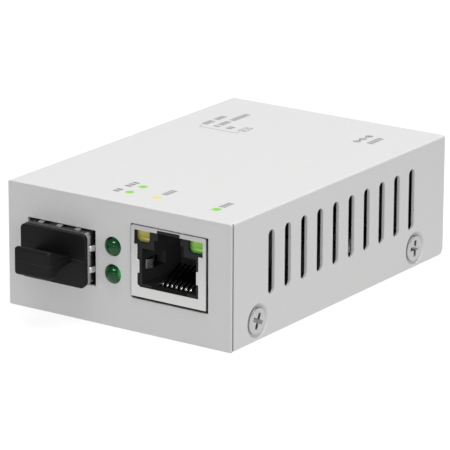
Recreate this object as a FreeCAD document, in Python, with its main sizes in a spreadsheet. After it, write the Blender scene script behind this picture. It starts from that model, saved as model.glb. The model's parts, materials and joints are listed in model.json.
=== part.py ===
import FreeCAD, Part
import os
from types import SimpleNamespace

import Sketcher
from FreeCAD import Vector

# Fibre media converter: a folded steel case in two parts round one circuit board, with a fibre
# module cage and its dust plug, a network jack and two lamps in the front panel, and a power jack
# and a two-way switch in the rear panel.
# Millimetres. X runs to the right seen from the front, Y from the front panel to the rear panel,
# Z up. The origin is the middle of the underside.

SIZES = {
    # case
    "width": 49.0,
    "depth": 72.0,
    "height": 23.6,
    "sheet": 0.6,
    "cover_bend": 0.35,
    "tray_bend": 0.3,
    "side_clearance": 0.1,
    "front_seam": 0.25,
    "side_lift": 0.15,
    "side_corner": 1.3,
    # ventilation slots in both sides of the cover
    "vent_width": 2.0,
    "vent_length": 12.0,
    "vent_pitch": 5.26,
    "vent_count": 10,
    "vent_middle": 0.45,
    "vent_height": 13.65,
    # cover screws, their dished seats and the ears that they enter
    "screw_front": 8.6,
    "screw_back": 10.2,
    "screw_height": 3.7,
    "dish_width": 6.6,
    "dish_depth": 0.6,
    "dish_taper": 45.0,
    "screw_hole": 3.4,
    "screw_head_width": 5.1,
    "screw_rim": 0.2,
    "screw_length": 3.4,
    "thread_width": 2.9,
    "thread_clearance": 0.05,
    "cross_span": 3.2,
    "cross_slot": 0.7,
    "cross_depth": 0.4,
    "ear_width": 9.0,
    "ear_height": 7.2,
    "ear_corner": 2.0,
    "ear_collar_width": 4.6,
    "ear_collar_length": 0.8,
    # circuit board and its posts, each post's middle measured from the nearest edge of the case
    "board_side_gap": 0.4,
    "board_thickness": 1.6,
    "board_top": 6.9,
    "board_front_gap": 0.5,
    "board_back_gap": 0.9,
    "board_hole": 3.3,
    "post_width": 5.0,
    "post_foot_width": 4.2,
    "post_foot_clearance": 0.05,
    "post_floor": 1.2,
    "board_head_width": 5.4,
    "board_head_height": 1.5,
    "board_head_rim": 0.5,
    "board_screw_length": 4.6,
    "post_front_y": 16.0,
    "post_left_x": 6.5,
    "post_left_gap": 3.4,
    "post_right_x": 7.0,
    "post_right_y": 24.0,
    "post_back_x": 3.0,
    "post_back_y": 6.0,
    # fibre module cage
    "sfp_x": -12.48,
    "sfp_z": 12.2,
    "sfp_window_width": 15.25,
    "sfp_window_height": 10.45,
    "sfp_window_corner": 0.5,
    "cage_width": 13.7,
    "cage_height": 9.5,
    "cage_sheet": 0.25,
    "cage_corner": 0.6,
    "cage_length": 48.7,
    "cage_proud": 1.8,
    "cage_leg_width": 1.2,
    "cage_leg_pitch": 10.0,
    "cage_leg_first": 8.0,
    "cage_leg_count": 4,
    "cage_leg_hole": 1.6,
    "cage_foot_width": 2.4,
    "pin_below": 1.2,
    # spring collar round the mouth of the cage
    "collar_sheet": 0.15,
    "collar_band": 1.2,
    "finger_width": 1.1,
    "finger_length": 3.4,
    "finger_gap": 0.03,
    "top_finger_pitch": 4.1,
    "side_finger_pitch": 4.0,
    # connector at the back of the cage
    "host_width": 11.4,
    "host_depth": 9.0,
    "host_height": 5.2,
    "host_edge": 0.85,
    "host_back_gap": 0.8,
    "host_clearance": 0.2,
    "host_slot_width": 9.6,
    "host_slot_height": 1.2,
    "host_slot_depth": 6.5,
    "host_slot_z": 3.4,
    # dust plug
    "flange_width": 14.4,
    "flange_height": 9.84,
    "flange_thickness": 0.9,
    "flange_corner": 0.95,
    "flange_bevel": 0.75,
    "grip_width": 8.0,
    "grip_height": 5.2,
    "grip_length": 6.3,
    "grip_bar": 0.9,
    "grip_web": 1.3,
    "grip_rounding": 0.6,
    "plug_clearance": 0.15,
    "plug_reach": 12.0,
    "plug_wall": 1.0,
    # network jack
    "rj45_x": 11.3,
    "rj45_proud": 0.3,
    "rj45_width": 16.2,
    "rj45_height": 13.3,
    "rj45_depth": 21.3,
    "rj45_window_clearance": 0.3,
    "shield_sheet": 0.25,
    "shield_bend": 0.5,
    "shield_opening": 12.9,
    "shield_sill": 1.95,
    "shield_lamp_opening": 14.8,
    "shield_lamp_step": 9.75,
    "shield_lintel": 0.85,
    "shield_bevel": 0.5,
    "shield_lug": 0.45,
    "shield_lug_low": 4.5,
    "shield_lug_high": 6.95,
    "shield_tab_width": 1.4,
    "shield_tab_y": 12.0,
    "shield_tab_hole": 1.9,
    "latch_width": 4.9,
    "port_width": 11.7,
    "port_ledge_top": 2.45,
    "port_floor_width": 7.7,
    "port_top": 9.1,
    "port_depth": 12.3,
    "key_width": 6.4,
    "key_top": 11.0,
    "latch_top": 12.4,
    "latch_depth": 8.0,
    "housing_clearance": 0.05,
    "spring_low": 4.8,
    "spring_high": 6.6,
    "spring_tip_y": 1.7,
    "spring_bow_y": 3.0,
    "spring_root_y": 7.2,
    "spring_bow": 0.45,
    "spring_tip_lift": 0.15,
    "spring_clearance": 0.25,
    "peg_width": 3.1,
    "peg_clearance": 0.08,
    "peg_spread": 11.4,
    "peg_y": 8.9,
    "peg_below": 2.4,
    "trough_width": 9.0,
    "trough_front": 2.2,
    "trough_back": 18.2,
    "comb_height": 1.6,
    "comb_clearance": 0.05,
    "comb_hole": 0.65,
    "contact_count": 8,
    "contact_pitch": 1.02,
    "contact_width": 0.46,
    "contact_thickness": 0.25,
    "contact_groove": 0.6,
    "contact_run_height": 0.95,
    "contact_bend": 0.72,
    "contact_bend_y": 4.0,
    "contact_tip_y": 9.0,
    "contact_tip_z": 4.5,
    "contact_tail_y": 14.4,
    "contact_tail_step": 2.54,
    "contact_hole": 0.95,
    "lamp_width": 3.0,
    "lamp_height": 2.2,
    "lamp_corner": 0.9,
    "lamp_recess": 0.4,
    "lamp_length": 8.6,
    "lamp_middle": 5.75,
    "lamp_top_gap": 0.95,
    "lamp_clearance": 0.05,
    # status lamps
    "led_x": -1.04,
    "led_upper_z": 15.14,
    "led_pitch": 5.14,
    "led_width": 3.3,
    "led_hole": 3.6,
    "led_proud": 0.9,
    "led_length": 5.2,
    "led_rim_width": 4.0,
    "led_rim_length": 0.9,
    "led_lead_width": 0.5,
    "led_lead_pitch": 2.54,
    "led_lead_step": 1.4,
    "led_lead_hole": 0.9,
    "holder_width": 4.6,
    "holder_depth": 2.4,
    "holder_above": 2.2,
    "holder_corner": 0.8,
    # power jack
    "dc_from_side": 9.0,
    "dc_gap": 0.3,
    "dc_width": 9.0,
    "dc_height": 10.9,
    "dc_length": 14.0,
    "dc_flange": 3.4,
    "dc_barrel_width": 8.4,
    "dc_axis": 6.4,
    "dc_bore": 6.3,
    "dc_bore_depth": 9.6,
    "dc_pin_width": 2.0,
    "dc_pin_back": 1.0,
    "dc_pin_root": 1.6,
    "dc_panel_hole": 7.2,
    "dc_strip": 0.3,
    "dc_strip_width": 2.2,
    "dc_strip_hole": 2.8,
    "dc_sleeve_y": 7.6,
    "dc_switch_y": 11.0,
    "dc_switch_height": 3.2,
    # two-way switch
    "dip_from_side": 11.4,
    "dip_gap": 0.3,
    "dip_width": 6.2,
    "dip_depth": 6.4,
    "dip_height": 8.6,
    "dip_pitch": 2.54,
    "dip_slot_width": 1.5,
    "dip_slot_height": 3.6,
    "dip_slot_depth": 2.0,
    "dip_axis": 5.0,
    "dip_window_width": 6.8,
    "dip_window_height": 5.2,
    "slider_width": 1.2,
    "slider_height": 1.4,
    "slider_edge": 0.3,
    "slider_proud": 0.7,
    "slider_gap": 0.1,
    "dip_pin_width": 0.5,
    "dip_pin_pitch": 2.54,
    "dip_pin_hole": 0.9,
    # pieces on the board, and the gaps that part each from the piece before it
    "transformer_x": 11.0,
    "transformer_gap": 2.5,
    "transformer_width": 12.7,
    "transformer_depth": 7.0,
    "transformer_height": 5.6,
    "transformer_undercut": 1.1,
    "controller_x": 6.5,
    "controller_gap": 3.5,
    "controller_size": 10.0,
    "controller_height": 0.9,
    "controller_edge": 0.1,
    "controller_mark": 3.8,
    "controller_mark_width": 0.8,
    "memory_gap": 1.5,
    "memory_width": 4.0,
    "memory_depth": 5.0,
    "memory_height": 1.5,
    "crystal_x": -1.8,
    "crystal_width": 4.6,
    "crystal_length": 11.2,
    "crystal_height": 3.4,
    "regulator_from_side": 10.0,
    "regulator_gap": 1.6,
    "regulator_width": 6.5,
    "regulator_depth": 3.5,
    "regulator_height": 1.6,
    "inductor_gap": 1.9,
    "inductor_from_back": 16.0,
    "inductor_size": 7.0,
    "inductor_height": 3.8,
    "inductor_foot": 0.8,
    "inductor_corner": 1.2,
    "inductor_core": 6.4,
    "inductor_rim": 0.5,
    "capacitor_gap": 0.95,
    "capacitor_from_back": 13.0,
    "capacitor_width": 6.3,
    "capacitor_height": 7.4,
    "capacitor_foot": 1.2,
    "capacitor_corner": 1.0,
    "capacitor_can": 6.0,
    "capacitor_rim": 0.5,
    "capacitor_pitch": 7.6,
    "mould_edge": 0.3,
    # how far a cut runs on past the face that it opens
    "overrun": 1.0,
}


class Size:
    """A length that follows the sheet: its formula over the cells, and its present number."""

    def __init__(self, formula, number):
        self.formula = formula
        self.number = number

    def joined(self, sign, other, number):
        return Size(f"({self.formula} {sign} {as_size(other).formula})", number)

    def __add__(self, other):
        return self.joined("+", other, self.number + as_size(other).number)

    def __sub__(self, other):
        return self.joined("-", other, self.number - as_size(other).number)

    def __mul__(self, other):
        return self.joined("*", other, self.number * as_size(other).number)

    def __truediv__(self, other):
        return self.joined("/", other, self.number / as_size(other).number)

    def __neg__(self):
        return Size(f"(0 - {self.formula})", -self.number)

    def __float__(self):
        return float(self.number)


def as_size(value):
    return value if isinstance(value, Size) else Size(repr(float(value)), float(value))


s = SimpleNamespace(**{alias: Size(f"Sizes.{alias}", number) for alias, number in SIZES.items()})
ZERO = as_size(0.0)

document = FreeCAD.newDocument("fibre_media_converter")
parts = []


def fill_sheet():
    sheet = document.addObject("Spreadsheet::Sheet", "Sizes")
    for row, (alias, number) in enumerate(SIZES.items(), start=1):
        sheet.set(f"A{row}", alias)
        sheet.set(f"B{row}", str(number))
        sheet.setAlias(f"B{row}", alias)
    document.recompute()


def bind(item, **lengths):
    """Tie properties to the sheet; a double underscore in a name stands for a dot."""
    for name, value in lengths.items():
        item.setExpression(name.replace("__", "."), as_size(value).formula)


# Planes: the origin plane's role, and whether its normal points down its own axis.
PLANES = {"XY": ("XY_Plane", 1), "XZ": ("XZ_Plane", -1), "YZ": ("YZ_Plane", 1)}
AXES = {"X": Vector(1, 0, 0), "Y": Vector(0, 1, 0), "Z": Vector(0, 0, 1)}


def origin_part(body, role):
    return next(item for item in body.Origin.OriginFeatures if item.Role == role)


def new_body(name, x=ZERO, y=ZERO, z=ZERO):
    """A sub-part with its own label, placed at (x, y, z)."""
    body = document.addObject("PartDesign::Body", name)
    body.Label = name
    bind(body, Placement__Base__x=x, Placement__Base__y=y, Placement__Base__z=z)
    parts.append(body)
    return body


def pin_point(sketch, item, point, u, v):
    """Hold one point of a sketch's line or arc at (u, v) from the sketch's origin."""
    for kind, value in (("DistanceX", u), ("DistanceY", v)):
        size = as_size(value)
        row = sketch.addConstraint(Sketcher.Constraint(kind, -1, 1, item, point, size.number))
        sketch.setExpression(f"Constraints[{row}]", size.formula)


def draw_circle(sketch, u, v, width):
    centre = Vector(float(u), float(v), 0)
    item = sketch.addGeometry(Part.Circle(centre, Vector(0, 0, 1), float(width) / 2), False)
    pin_point(sketch, item, 3, u, v)
    row = sketch.addConstraint(Sketcher.Constraint("Diameter", item, float(width)))
    sketch.setExpression(f"Constraints[{row}]", as_size(width).formula)


def draw_loop(sketch, corners):
    """A closed outline. A corner is (u, v), or (u, v, centre_u, centre_v, turn) where an arc
    leaves it: turn is 1 for anticlockwise and -1 for clockwise."""
    first = sketch.GeometryCount
    count = len(corners)
    ends = []
    for number, corner in enumerate(corners):
        start = Vector(float(corner[0]), float(corner[1]), 0)
        following = corners[(number + 1) % count]
        stop = Vector(float(following[0]), float(following[1]), 0)
        if len(corner) == 2:
            sketch.addGeometry(Part.LineSegment(start, stop), False)
            ends.append((1, 2))
            continue
        centre = Vector(float(corner[2]), float(corner[3]), 0)
        circle = Part.Circle(centre, Vector(0, 0, 1), (start - centre).Length)
        low, high = (start, stop) if corner[4] > 0 else (stop, start)
        angles = [circle.parameter(low), circle.parameter(high)]
        sketch.addGeometry(Part.ArcOfCircle(circle, *angles), False)
        ends.append((1, 2) if corner[4] > 0 else (2, 1))
    for number, corner in enumerate(corners):
        following = (number + 1) % count
        sketch.addConstraint(Sketcher.Constraint(
            "Coincident", first + number, ends[number][1], first + following, ends[following][0]))
        pin_point(sketch, first + number, ends[number][0], corner[0], corner[1])
        if len(corner) > 2:
            hold_centre(sketch, first + number, corner, corners[following])


def hold_centre(sketch, item, corner, following):
    """Fix an arc's centre along the line that its two ends leave free."""
    level = abs(float(following[0]) - float(corner[0])) >= abs(float(following[1]) - float(corner[1]))
    kind, value = ("DistanceY", corner[3]) if level else ("DistanceX", corner[2])
    size = as_size(value)
    row = sketch.addConstraint(Sketcher.Constraint(kind, -1, 1, item, 3, size.number))
    sketch.setExpression(f"Constraints[{row}]", size.formula)


def new_sketch(body, plane, offset, loops):
    """A sketch across one of the body's own planes. A loop of three values is a circle."""
    sketch = body.newObject("Sketcher::SketchObject", f"{body.Name}_sketch")
    role, sign = PLANES[plane]
    sketch.AttachmentSupport = [(origin_part(body, role), "")]
    sketch.MapMode = "FlatFace"
    bind(sketch, AttachmentOffset__Base__z=as_size(offset) * sign)
    for loop in loops:
        if isinstance(loop[0], tuple):
            draw_loop(sketch, loop)
        else:
            draw_circle(sketch, *loop)
    return sketch


def pad(body, plane, low, high, loops, taper=None):
    """Material between two distances along the plane's axis."""
    sign = PLANES[plane][1]
    sketch = new_sketch(body, plane, low if sign > 0 else high, loops)
    feature = body.newObject("PartDesign::Pad", f"{body.Name}_pad")
    feature.Profile = sketch
    bind(feature, Length=as_size(high) - low)
    if taper is not None:
        bind(feature, TaperAngle=taper)
    document.recompute()
    return feature


def cut(body, plane, low, high, loops, taper=None):
    """A pocket between two distances along the plane's axis, sunk from the far one."""
    before = body.Shape.Volume
    sign = PLANES[plane][1]
    sketch = new_sketch(body, plane, high if sign > 0 else low, loops)
    feature = body.newObject("PartDesign::Pocket", f"{body.Name}_pocket")
    feature.Profile = sketch
    bind(feature, Length=as_size(high) - low)
    if taper is not None:
        bind(feature, TaperAngle=taper)
    document.recompute()
    if body.Shape.Volume > before - 1e-6:
        raise RuntimeError(f"a pocket of {body.Label} cuts nothing")
    return feature


def turn(body, plane, axis, corners):
    """A revolved profile about one of the sketch's own axes, H_Axis or V_Axis."""
    sketch = new_sketch(body, plane, ZERO, [corners])
    feature = body.newObject("PartDesign::Revolution", f"{body.Name}_turning")
    feature.Profile = sketch
    feature.ReferenceAxis = (sketch, [axis])
    feature.Angle = 360
    document.recompute()
    return feature


def edges_along(shape, axis, test):
    """Names of the straight edges along X, Y or Z whose middle passes the test."""
    found = []
    for number, edge in enumerate(shape.Edges, start=1):
        if edge.Curve.TypeId != "Part::GeomLine":
            continue
        if abs(edge.tangentAt(edge.FirstParameter).dot(AXES[axis])) > 0.999 and test(edge.CenterOfMass):
            found.append(f"Edge{number}")
    return found


def soften(body, kind, axis, size, test):
    """Fillet or chamfer the edges of the tip along one axis that pass the test."""
    base = body.Tip
    names = edges_along(base.Shape, axis, test)
    if not names:
        raise RuntimeError(f"no edges to soften on {body.Label}")
    feature = body.newObject(f"PartDesign::{kind}", f"{body.Name}_{kind.lower()}")
    feature.Base = (base, names)
    bind(feature, **{"Radius" if kind == "Fillet" else "Size": size})
    document.recompute()
    return feature


def soften_rim(body, place, size, axis="x"):
    """Chamfer the circular edges of the tip that lie at one place along an axis."""
    base = body.Tip
    names = [f"Edge{number}" for number, edge in enumerate(base.Shape.Edges, start=1)
             if edge.Curve.TypeId == "Part::GeomCircle"
             and near(getattr(edge.Curve.Center, axis), place)]
    feature = body.newObject("PartDesign::Chamfer", f"{body.Name}_rim")
    feature.Base = (base, names)
    bind(feature, Size=size)
    document.recompute()


def repeat(body, axis, pitch, count, features=None):
    """A row of copies along one axis, of the named features or else of the whole shape."""
    row = body.newObject("PartDesign::LinearPattern", f"{body.Name}_row")
    if features:
        row.Originals = features
    else:
        row.TransformMode = "Whole shape"
    row.Direction = (origin_part(body, f"{axis}_Axis"), [""])
    row.Mode = "Spacing"
    bind(row, Offset=pitch, Occurrences=count)
    body.Tip = row
    document.recompute()
    return row


def mirror(body, plane, features=None):
    """The other half across one of the body's planes, of the named features or of the whole."""
    half = body.newObject("PartDesign::Mirrored", f"{body.Name}_mirror")
    if features:
        half.Originals = features
    else:
        half.TransformMode = "Whole shape"
    half.MirrorPlane = (origin_part(body, PLANES[plane][0]), [""])
    body.Tip = half
    document.recompute()
    return half


def box(left, right, low, high):
    return [(left, low), (right, low), (right, high), (left, high)]


def middle_box(width, low, high):
    return box(-(width / 2), width / 2, low, high)


def centred_box(u, v, width, height):
    return box(u - width / 2, u + width / 2, v - height / 2, v + height / 2)


def square(u, v, width):
    return centred_box(u, v, width, width)


def rounded_box(u, v, width, height, radius):
    """A centred box whose four corners are arcs."""
    left, right, low, high = u - width / 2, u + width / 2, v - height / 2, v + height / 2
    inner_left, inner_right = left + radius, right - radius
    inner_low, inner_high = low + radius, high - radius
    return [
        (inner_left, low), (inner_right, low, inner_right, inner_low, 1),
        (right, inner_low), (right, inner_high, inner_right, inner_high, 1),
        (inner_right, high), (inner_left, high, inner_left, inner_high, 1),
        (left, inner_high), (left, inner_low, inner_left, inner_low, 1)]


def near(value, target):
    return abs(value - float(target)) < 0.01


# Planes of the case
FRONT = -(s.depth / 2)
BACK = s.depth / 2
SIDE = s.width / 2
COVER_UNDER = s.height - s.sheet
PANEL_INSIDE = FRONT + s.sheet
REAR_INSIDE = BACK - s.sheet
TRAY_SIDE = SIDE - s.sheet - s.side_clearance
SCREW_ROWS = (FRONT + s.screw_front, BACK - s.screw_back)
DISH_FLOOR = SIDE - s.dish_depth
DISH_BACK = DISH_FLOOR - s.sheet
THREAD_BORE = s.thread_width + s.thread_clearance * 2
BOARD_UNDER = s.board_top - s.board_thickness
EAR_INSIDE = DISH_BACK - s.sheet
BOARD_SIDE = EAR_INSIDE - s.ear_collar_length - s.board_side_gap
PIN_END = BOARD_UNDER - s.pin_below - s.board_top
# Places of the front and rear fittings
CAGE_FRONT = FRONT - s.cage_proud
CAGE_BACK = CAGE_FRONT + s.cage_length
CAGE_RIGHT = s.sfp_x + s.cage_width / 2
CAGE_LEG_X = (s.cage_width - s.cage_sheet) / 2
RJ45_FRONT = FRONT - s.rj45_proud
RJ45_LEFT = s.rj45_x - s.rj45_width / 2
LAMP_LOW = s.rj45_height - s.lamp_top_gap - s.lamp_height
LED_TIP = FRONT - s.led_proud
LED_LOWER_Z = s.led_upper_z - s.led_pitch
LED_BASE = LED_TIP + s.led_length
DC_X = SIDE - s.dc_from_side
DC_FACE = REAR_INSIDE - s.dc_gap
DC_REAR = DC_FACE - s.dc_length - s.dc_strip
DC_AXIS_Z = s.board_top + s.dc_axis
DIP_X = s.dip_from_side - SIDE
DIP_FACE = REAR_INSIDE - s.dip_gap
DIP_AXIS_Z = s.board_top + s.dip_axis
# Places of the board's posts and of the pieces that stand on it
POSTS = (
    ((CAGE_RIGHT + RJ45_LEFT) / 2, FRONT + s.post_front_y),
    (s.post_left_x - SIDE, CAGE_BACK + s.post_left_gap + s.board_head_width / 2),
    (SIDE - s.post_right_x, BACK - s.post_right_y),
    (s.post_back_x, BACK - s.post_back_y),
)
TRANSFORMER_Y = RJ45_FRONT + s.rj45_depth + s.transformer_gap + s.transformer_depth / 2
CONTROLLER_Y = (TRANSFORMER_Y + s.transformer_depth / 2 + s.controller_gap
                + s.controller_size / 2)
MEMORY_X = CAGE_RIGHT + s.memory_gap + s.memory_width / 2
REGULATOR_Y = DC_REAR - s.regulator_gap - s.regulator_depth / 2
INDUCTOR_X = DC_X - s.dc_width / 2 - s.inductor_gap - s.inductor_size / 2
CAPACITOR_X = INDUCTOR_X - s.inductor_size / 2 - s.capacitor_gap - s.capacitor_width / 2


def top_cover():
    """Folded cover: the top and both sides. The top reaches over the front panel's edge."""
    body = new_body("top_cover")
    inside = SIDE - s.sheet
    pad(body, "XZ", FRONT, BACK, [[
        (-SIDE, s.side_lift), (-inside, s.side_lift), (-inside, COVER_UNDER), (inside, COVER_UNDER),
        (inside, s.side_lift), (SIDE, s.side_lift), (SIDE, s.height), (-SIDE, s.height)]])
    soften(body, "Fillet", "Y", s.cover_bend,
           lambda at: near(abs(at.x), SIDE) and near(at.z, s.height))
    cut(body, "XZ", FRONT - s.overrun, PANEL_INSIDE + s.front_seam,
        [box(-SIDE - s.overrun, SIDE + s.overrun, ZERO, COVER_UNDER)])
    soften(body, "Fillet", "X", s.side_corner,
           lambda at: near(at.y, BACK) and near(at.z, s.side_lift))
    radius = s.vent_width / 2
    first = s.vent_middle - s.vent_pitch * (s.vent_count - 1) / 2
    low = s.vent_height - s.vent_length / 2 + radius
    high = s.vent_height + s.vent_length / 2 - radius
    slot = cut(body, "YZ", -SIDE - s.overrun, SIDE + s.overrun, [[
        (first - radius, low, first, low, 1), (first + radius, low),
        (first + radius, high, first, high, 1), (first - radius, high)]])
    repeat(body, "Y", s.vent_pitch, s.vent_count, [slot])
    for place in SCREW_ROWS:
        seat = [
            pad(body, "YZ", DISH_BACK, SIDE - s.sheet,
                [(place, s.screw_height, s.dish_width - s.dish_depth * 2)], s.dish_taper),
            cut(body, "YZ", DISH_FLOOR, SIDE, [(place, s.screw_height, s.dish_width)],
                -s.dish_taper),
            cut(body, "YZ", DISH_BACK, DISH_FLOOR, [(place, s.screw_height, s.screw_hole)]),
        ]
        mirror(body, "YZ", seat)


def base_tray():
    """Folded tray: front panel, floor and rear panel, with four ears that the screws enter."""
    body = new_body("base_tray")
    pad(body, "YZ", -TRAY_SIDE, TRAY_SIDE, [[
        (FRONT, ZERO), (BACK, ZERO), (BACK, COVER_UNDER), (REAR_INSIDE, COVER_UNDER),
        (REAR_INSIDE, s.sheet), (PANEL_INSIDE, s.sheet), (PANEL_INSIDE, COVER_UNDER),
        (FRONT, COVER_UNDER)]])
    pad(body, "XZ", FRONT, PANEL_INSIDE, [middle_box(s.width, ZERO, COVER_UNDER)])
    soften(body, "Fillet", "X", s.tray_bend, lambda at: near(abs(at.y), BACK) and near(at.z, 0))
    gap = s.rj45_window_clearance
    cut(body, "XZ", FRONT, PANEL_INSIDE, [
        rounded_box(s.sfp_x, s.sfp_z, s.sfp_window_width, s.sfp_window_height,
                    s.sfp_window_corner),
        box(s.rj45_x - s.rj45_width / 2 - gap, s.rj45_x + s.rj45_width / 2 + gap,
            s.board_top - gap, s.board_top + s.rj45_height + gap),
        (s.led_x, s.led_upper_z, s.led_hole),
        (s.led_x, LED_LOWER_Z, s.led_hole)])
    cut(body, "XZ", REAR_INSIDE, BACK, [
        (DC_X, DC_AXIS_Z, s.dc_panel_hole),
        centred_box(DIP_X, DIP_AXIS_Z, s.dip_window_width, s.dip_window_height)])
    cut(body, "XY", ZERO, s.sheet,
        [(x, y, s.post_foot_width + s.post_foot_clearance * 2) for x, y in POSTS])
    for place in SCREW_ROWS:
        ear = [
            pad(body, "YZ", EAR_INSIDE, DISH_BACK,
                [box(place - s.ear_width / 2, place + s.ear_width / 2, ZERO, s.ear_height)]),
            pad(body, "YZ", EAR_INSIDE - s.ear_collar_length, EAR_INSIDE,
                [(place, s.screw_height, s.ear_collar_width)]),
            cut(body, "YZ", EAR_INSIDE - s.ear_collar_length, DISH_BACK,
                [(place, s.screw_height, THREAD_BORE)]),
        ]
        mirror(body, "YZ", ear)
    soften(body, "Fillet", "X", s.ear_corner, lambda at: near(at.z, s.ear_height))


def cover_screws():
    """Four pan screws, flush in their dished seats."""
    body = new_body("cover_screws", y=SCREW_ROWS[0], z=s.screw_height)
    pad(body, "YZ", DISH_FLOOR, SIDE, [(ZERO, ZERO, s.screw_head_width)])
    pad(body, "YZ", DISH_FLOOR - s.screw_length, DISH_FLOOR, [(ZERO, ZERO, s.thread_width)])
    soften_rim(body, SIDE, s.screw_rim)
    half = s.cross_span / 2
    arm = s.cross_slot / 2
    cut(body, "YZ", SIDE - s.cross_depth, SIDE, [[
        (-half, -arm), (-arm, -arm), (-arm, -half), (arm, -half), (arm, -arm), (half, -arm),
        (half, arm), (arm, arm), (arm, half), (-arm, half), (-arm, arm), (-half, arm)]])
    mirror(body, "YZ")
    repeat(body, "Y", SCREW_ROWS[1] - SCREW_ROWS[0], 2)


def circuit_board():
    """Board with round holes for its posts and pegs, and square ones for legs, pins and leads."""
    body = new_body("circuit_board")
    pad(body, "XY", BOARD_UNDER, s.board_top, [box(
        -BOARD_SIDE, BOARD_SIDE, PANEL_INSIDE + s.board_front_gap, REAR_INSIDE - s.board_back_gap)])
    holes = [(x, y, s.board_hole) for x, y in POSTS]
    for side in (-1, 1):
        for number in range(SIZES["cage_leg_count"]):
            holes.append(square(s.sfp_x + CAGE_LEG_X * side,
                                CAGE_FRONT + s.cage_leg_first + s.cage_leg_pitch * number,
                                s.cage_leg_hole))
        holes.append(square(s.rj45_x + (s.rj45_width - s.shield_sheet) / 2 * side,
                            RJ45_FRONT + s.shield_tab_y, s.shield_tab_hole))
        holes.append((s.rj45_x + s.peg_spread / 2 * side, RJ45_FRONT + s.peg_y,
                      s.peg_width + s.peg_clearance * 2))
        for step in (1, 2):
            holes.append(square(s.led_x + s.led_lead_pitch / 2 * side,
                                LED_BASE + s.holder_depth + led_lead_back(step), s.led_lead_hole))
            holes.append(square(DIP_X + s.dip_pitch / 2 * side,
                                DIP_FACE - s.dip_depth / 2 + dip_pin_y(step), s.dip_pin_hole))
    for number in range(SIZES["contact_count"]):
        holes.append(square(s.rj45_x + contact_x(number), RJ45_FRONT + contact_tail(number),
                            s.contact_hole))
    for x, y in dc_strips():
        holes.append(square(DC_X + x, DC_FACE + y, s.dc_strip_hole))
    cut(body, "XY", BOARD_UNDER, s.board_top, holes)


def contact_x(number):
    return s.contact_pitch * (number - (SIZES["contact_count"] - 1) / 2)


def contact_tail(number):
    """Tails stand in two rows, every other contact further back."""
    return s.contact_tail_y + s.contact_tail_step * (number % 2)


def led_lead_back(step):
    """How far behind the holder the leads turn down: the upper lamp's further than the lower's."""
    return s.led_lead_step * (step - 0.5)


def dip_pin_y(step):
    return s.dip_pin_pitch * (step - 1.5)


def dc_strips():
    """Middles of the power jack's three strips, from its open face."""
    return (
        (ZERO, -s.dc_length - s.dc_strip / 2),
        (ZERO, -s.dc_sleeve_y),
        (s.dc_barrel_width / 2 + s.dc_strip / 2, -s.dc_switch_y),
    )


def board_posts():
    """Clinched posts: the foot is pressed into the floor, flush with its underside."""
    for name, (x, y) in zip(("front", "left", "right", "back"), POSTS):
        body = new_body(f"board_post_{name}", x=x, y=y)
        foot = s.post_foot_width / 2
        outer = s.post_width / 2
        bore = THREAD_BORE / 2
        turn(body, "XZ", "V_Axis", [
            (ZERO, ZERO), (foot, ZERO), (foot, s.sheet), (outer, s.sheet), (outer, BOARD_UNDER),
            (bore, BOARD_UNDER), (bore, s.post_floor), (ZERO, s.post_floor)])


def board_screws():
    """Four pan screws that hold the board on its posts, as one group."""
    body = new_body("board_screws", z=s.board_top)
    pad(body, "XY", ZERO, s.board_head_height, [(x, y, s.board_head_width) for x, y in POSTS])
    soften_rim(body, s.board_head_height, s.board_head_rim, axis="z")
    pad(body, "XY", -s.board_screw_length, ZERO, [(x, y, s.thread_width) for x, y in POSTS])
    for x, y in POSTS:
        half = s.cross_span / 2
        arm = s.cross_slot / 2
        cut(body, "XY", s.board_head_height - s.cross_depth, s.board_head_height, [[
            (x - half, y - arm), (x - arm, y - arm), (x - arm, y - half), (x + arm, y - half),
            (x + arm, y - arm), (x + half, y - arm), (x + half, y + arm), (x + arm, y + arm),
            (x + arm, y + half), (x - arm, y + half), (x - arm, y + arm), (x - half, y + arm)]])


def sfp_cage():
    """Folded sheet cage: open in front, with legs that stand on and pass through the board."""
    body = new_body("sfp_cage", x=s.sfp_x, y=CAGE_FRONT, z=s.sfp_z)
    pad(body, "XZ", ZERO, s.cage_length,
        [rounded_box(ZERO, ZERO, s.cage_width, s.cage_height, s.cage_corner)])
    inner_width = s.cage_width - s.cage_sheet * 2
    inner_height = s.cage_height - s.cage_sheet * 2
    cut(body, "XZ", ZERO, s.cage_length - s.cage_sheet,
        [rounded_box(ZERO, ZERO, inner_width, inner_height, s.cage_corner - s.cage_sheet)])
    back = s.cage_length - s.host_back_gap + s.host_clearance
    cut(body, "XY", -(s.cage_height / 2), -(s.cage_height / 2) + s.cage_sheet,
        [middle_box(s.host_width + s.host_clearance * 2,
                    back - s.host_depth - s.host_clearance * 2, back)])
    board = s.board_top - s.sfp_z
    first = s.cage_leg_first
    legs = [
        pad(body, "YZ", CAGE_LEG_X - s.cage_sheet / 2, CAGE_LEG_X + s.cage_sheet / 2,
            [centred_box(first, board / 2, s.cage_foot_width, -board)]),
        pad(body, "YZ", CAGE_LEG_X - s.cage_sheet / 2, CAGE_LEG_X + s.cage_sheet / 2,
            [box(first - s.cage_leg_width / 2, first + s.cage_leg_width / 2,
                 board + PIN_END, board)]),
    ]
    repeat(body, "Y", s.cage_leg_pitch, s.cage_leg_count, legs)
    mirror(body, "YZ")


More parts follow.
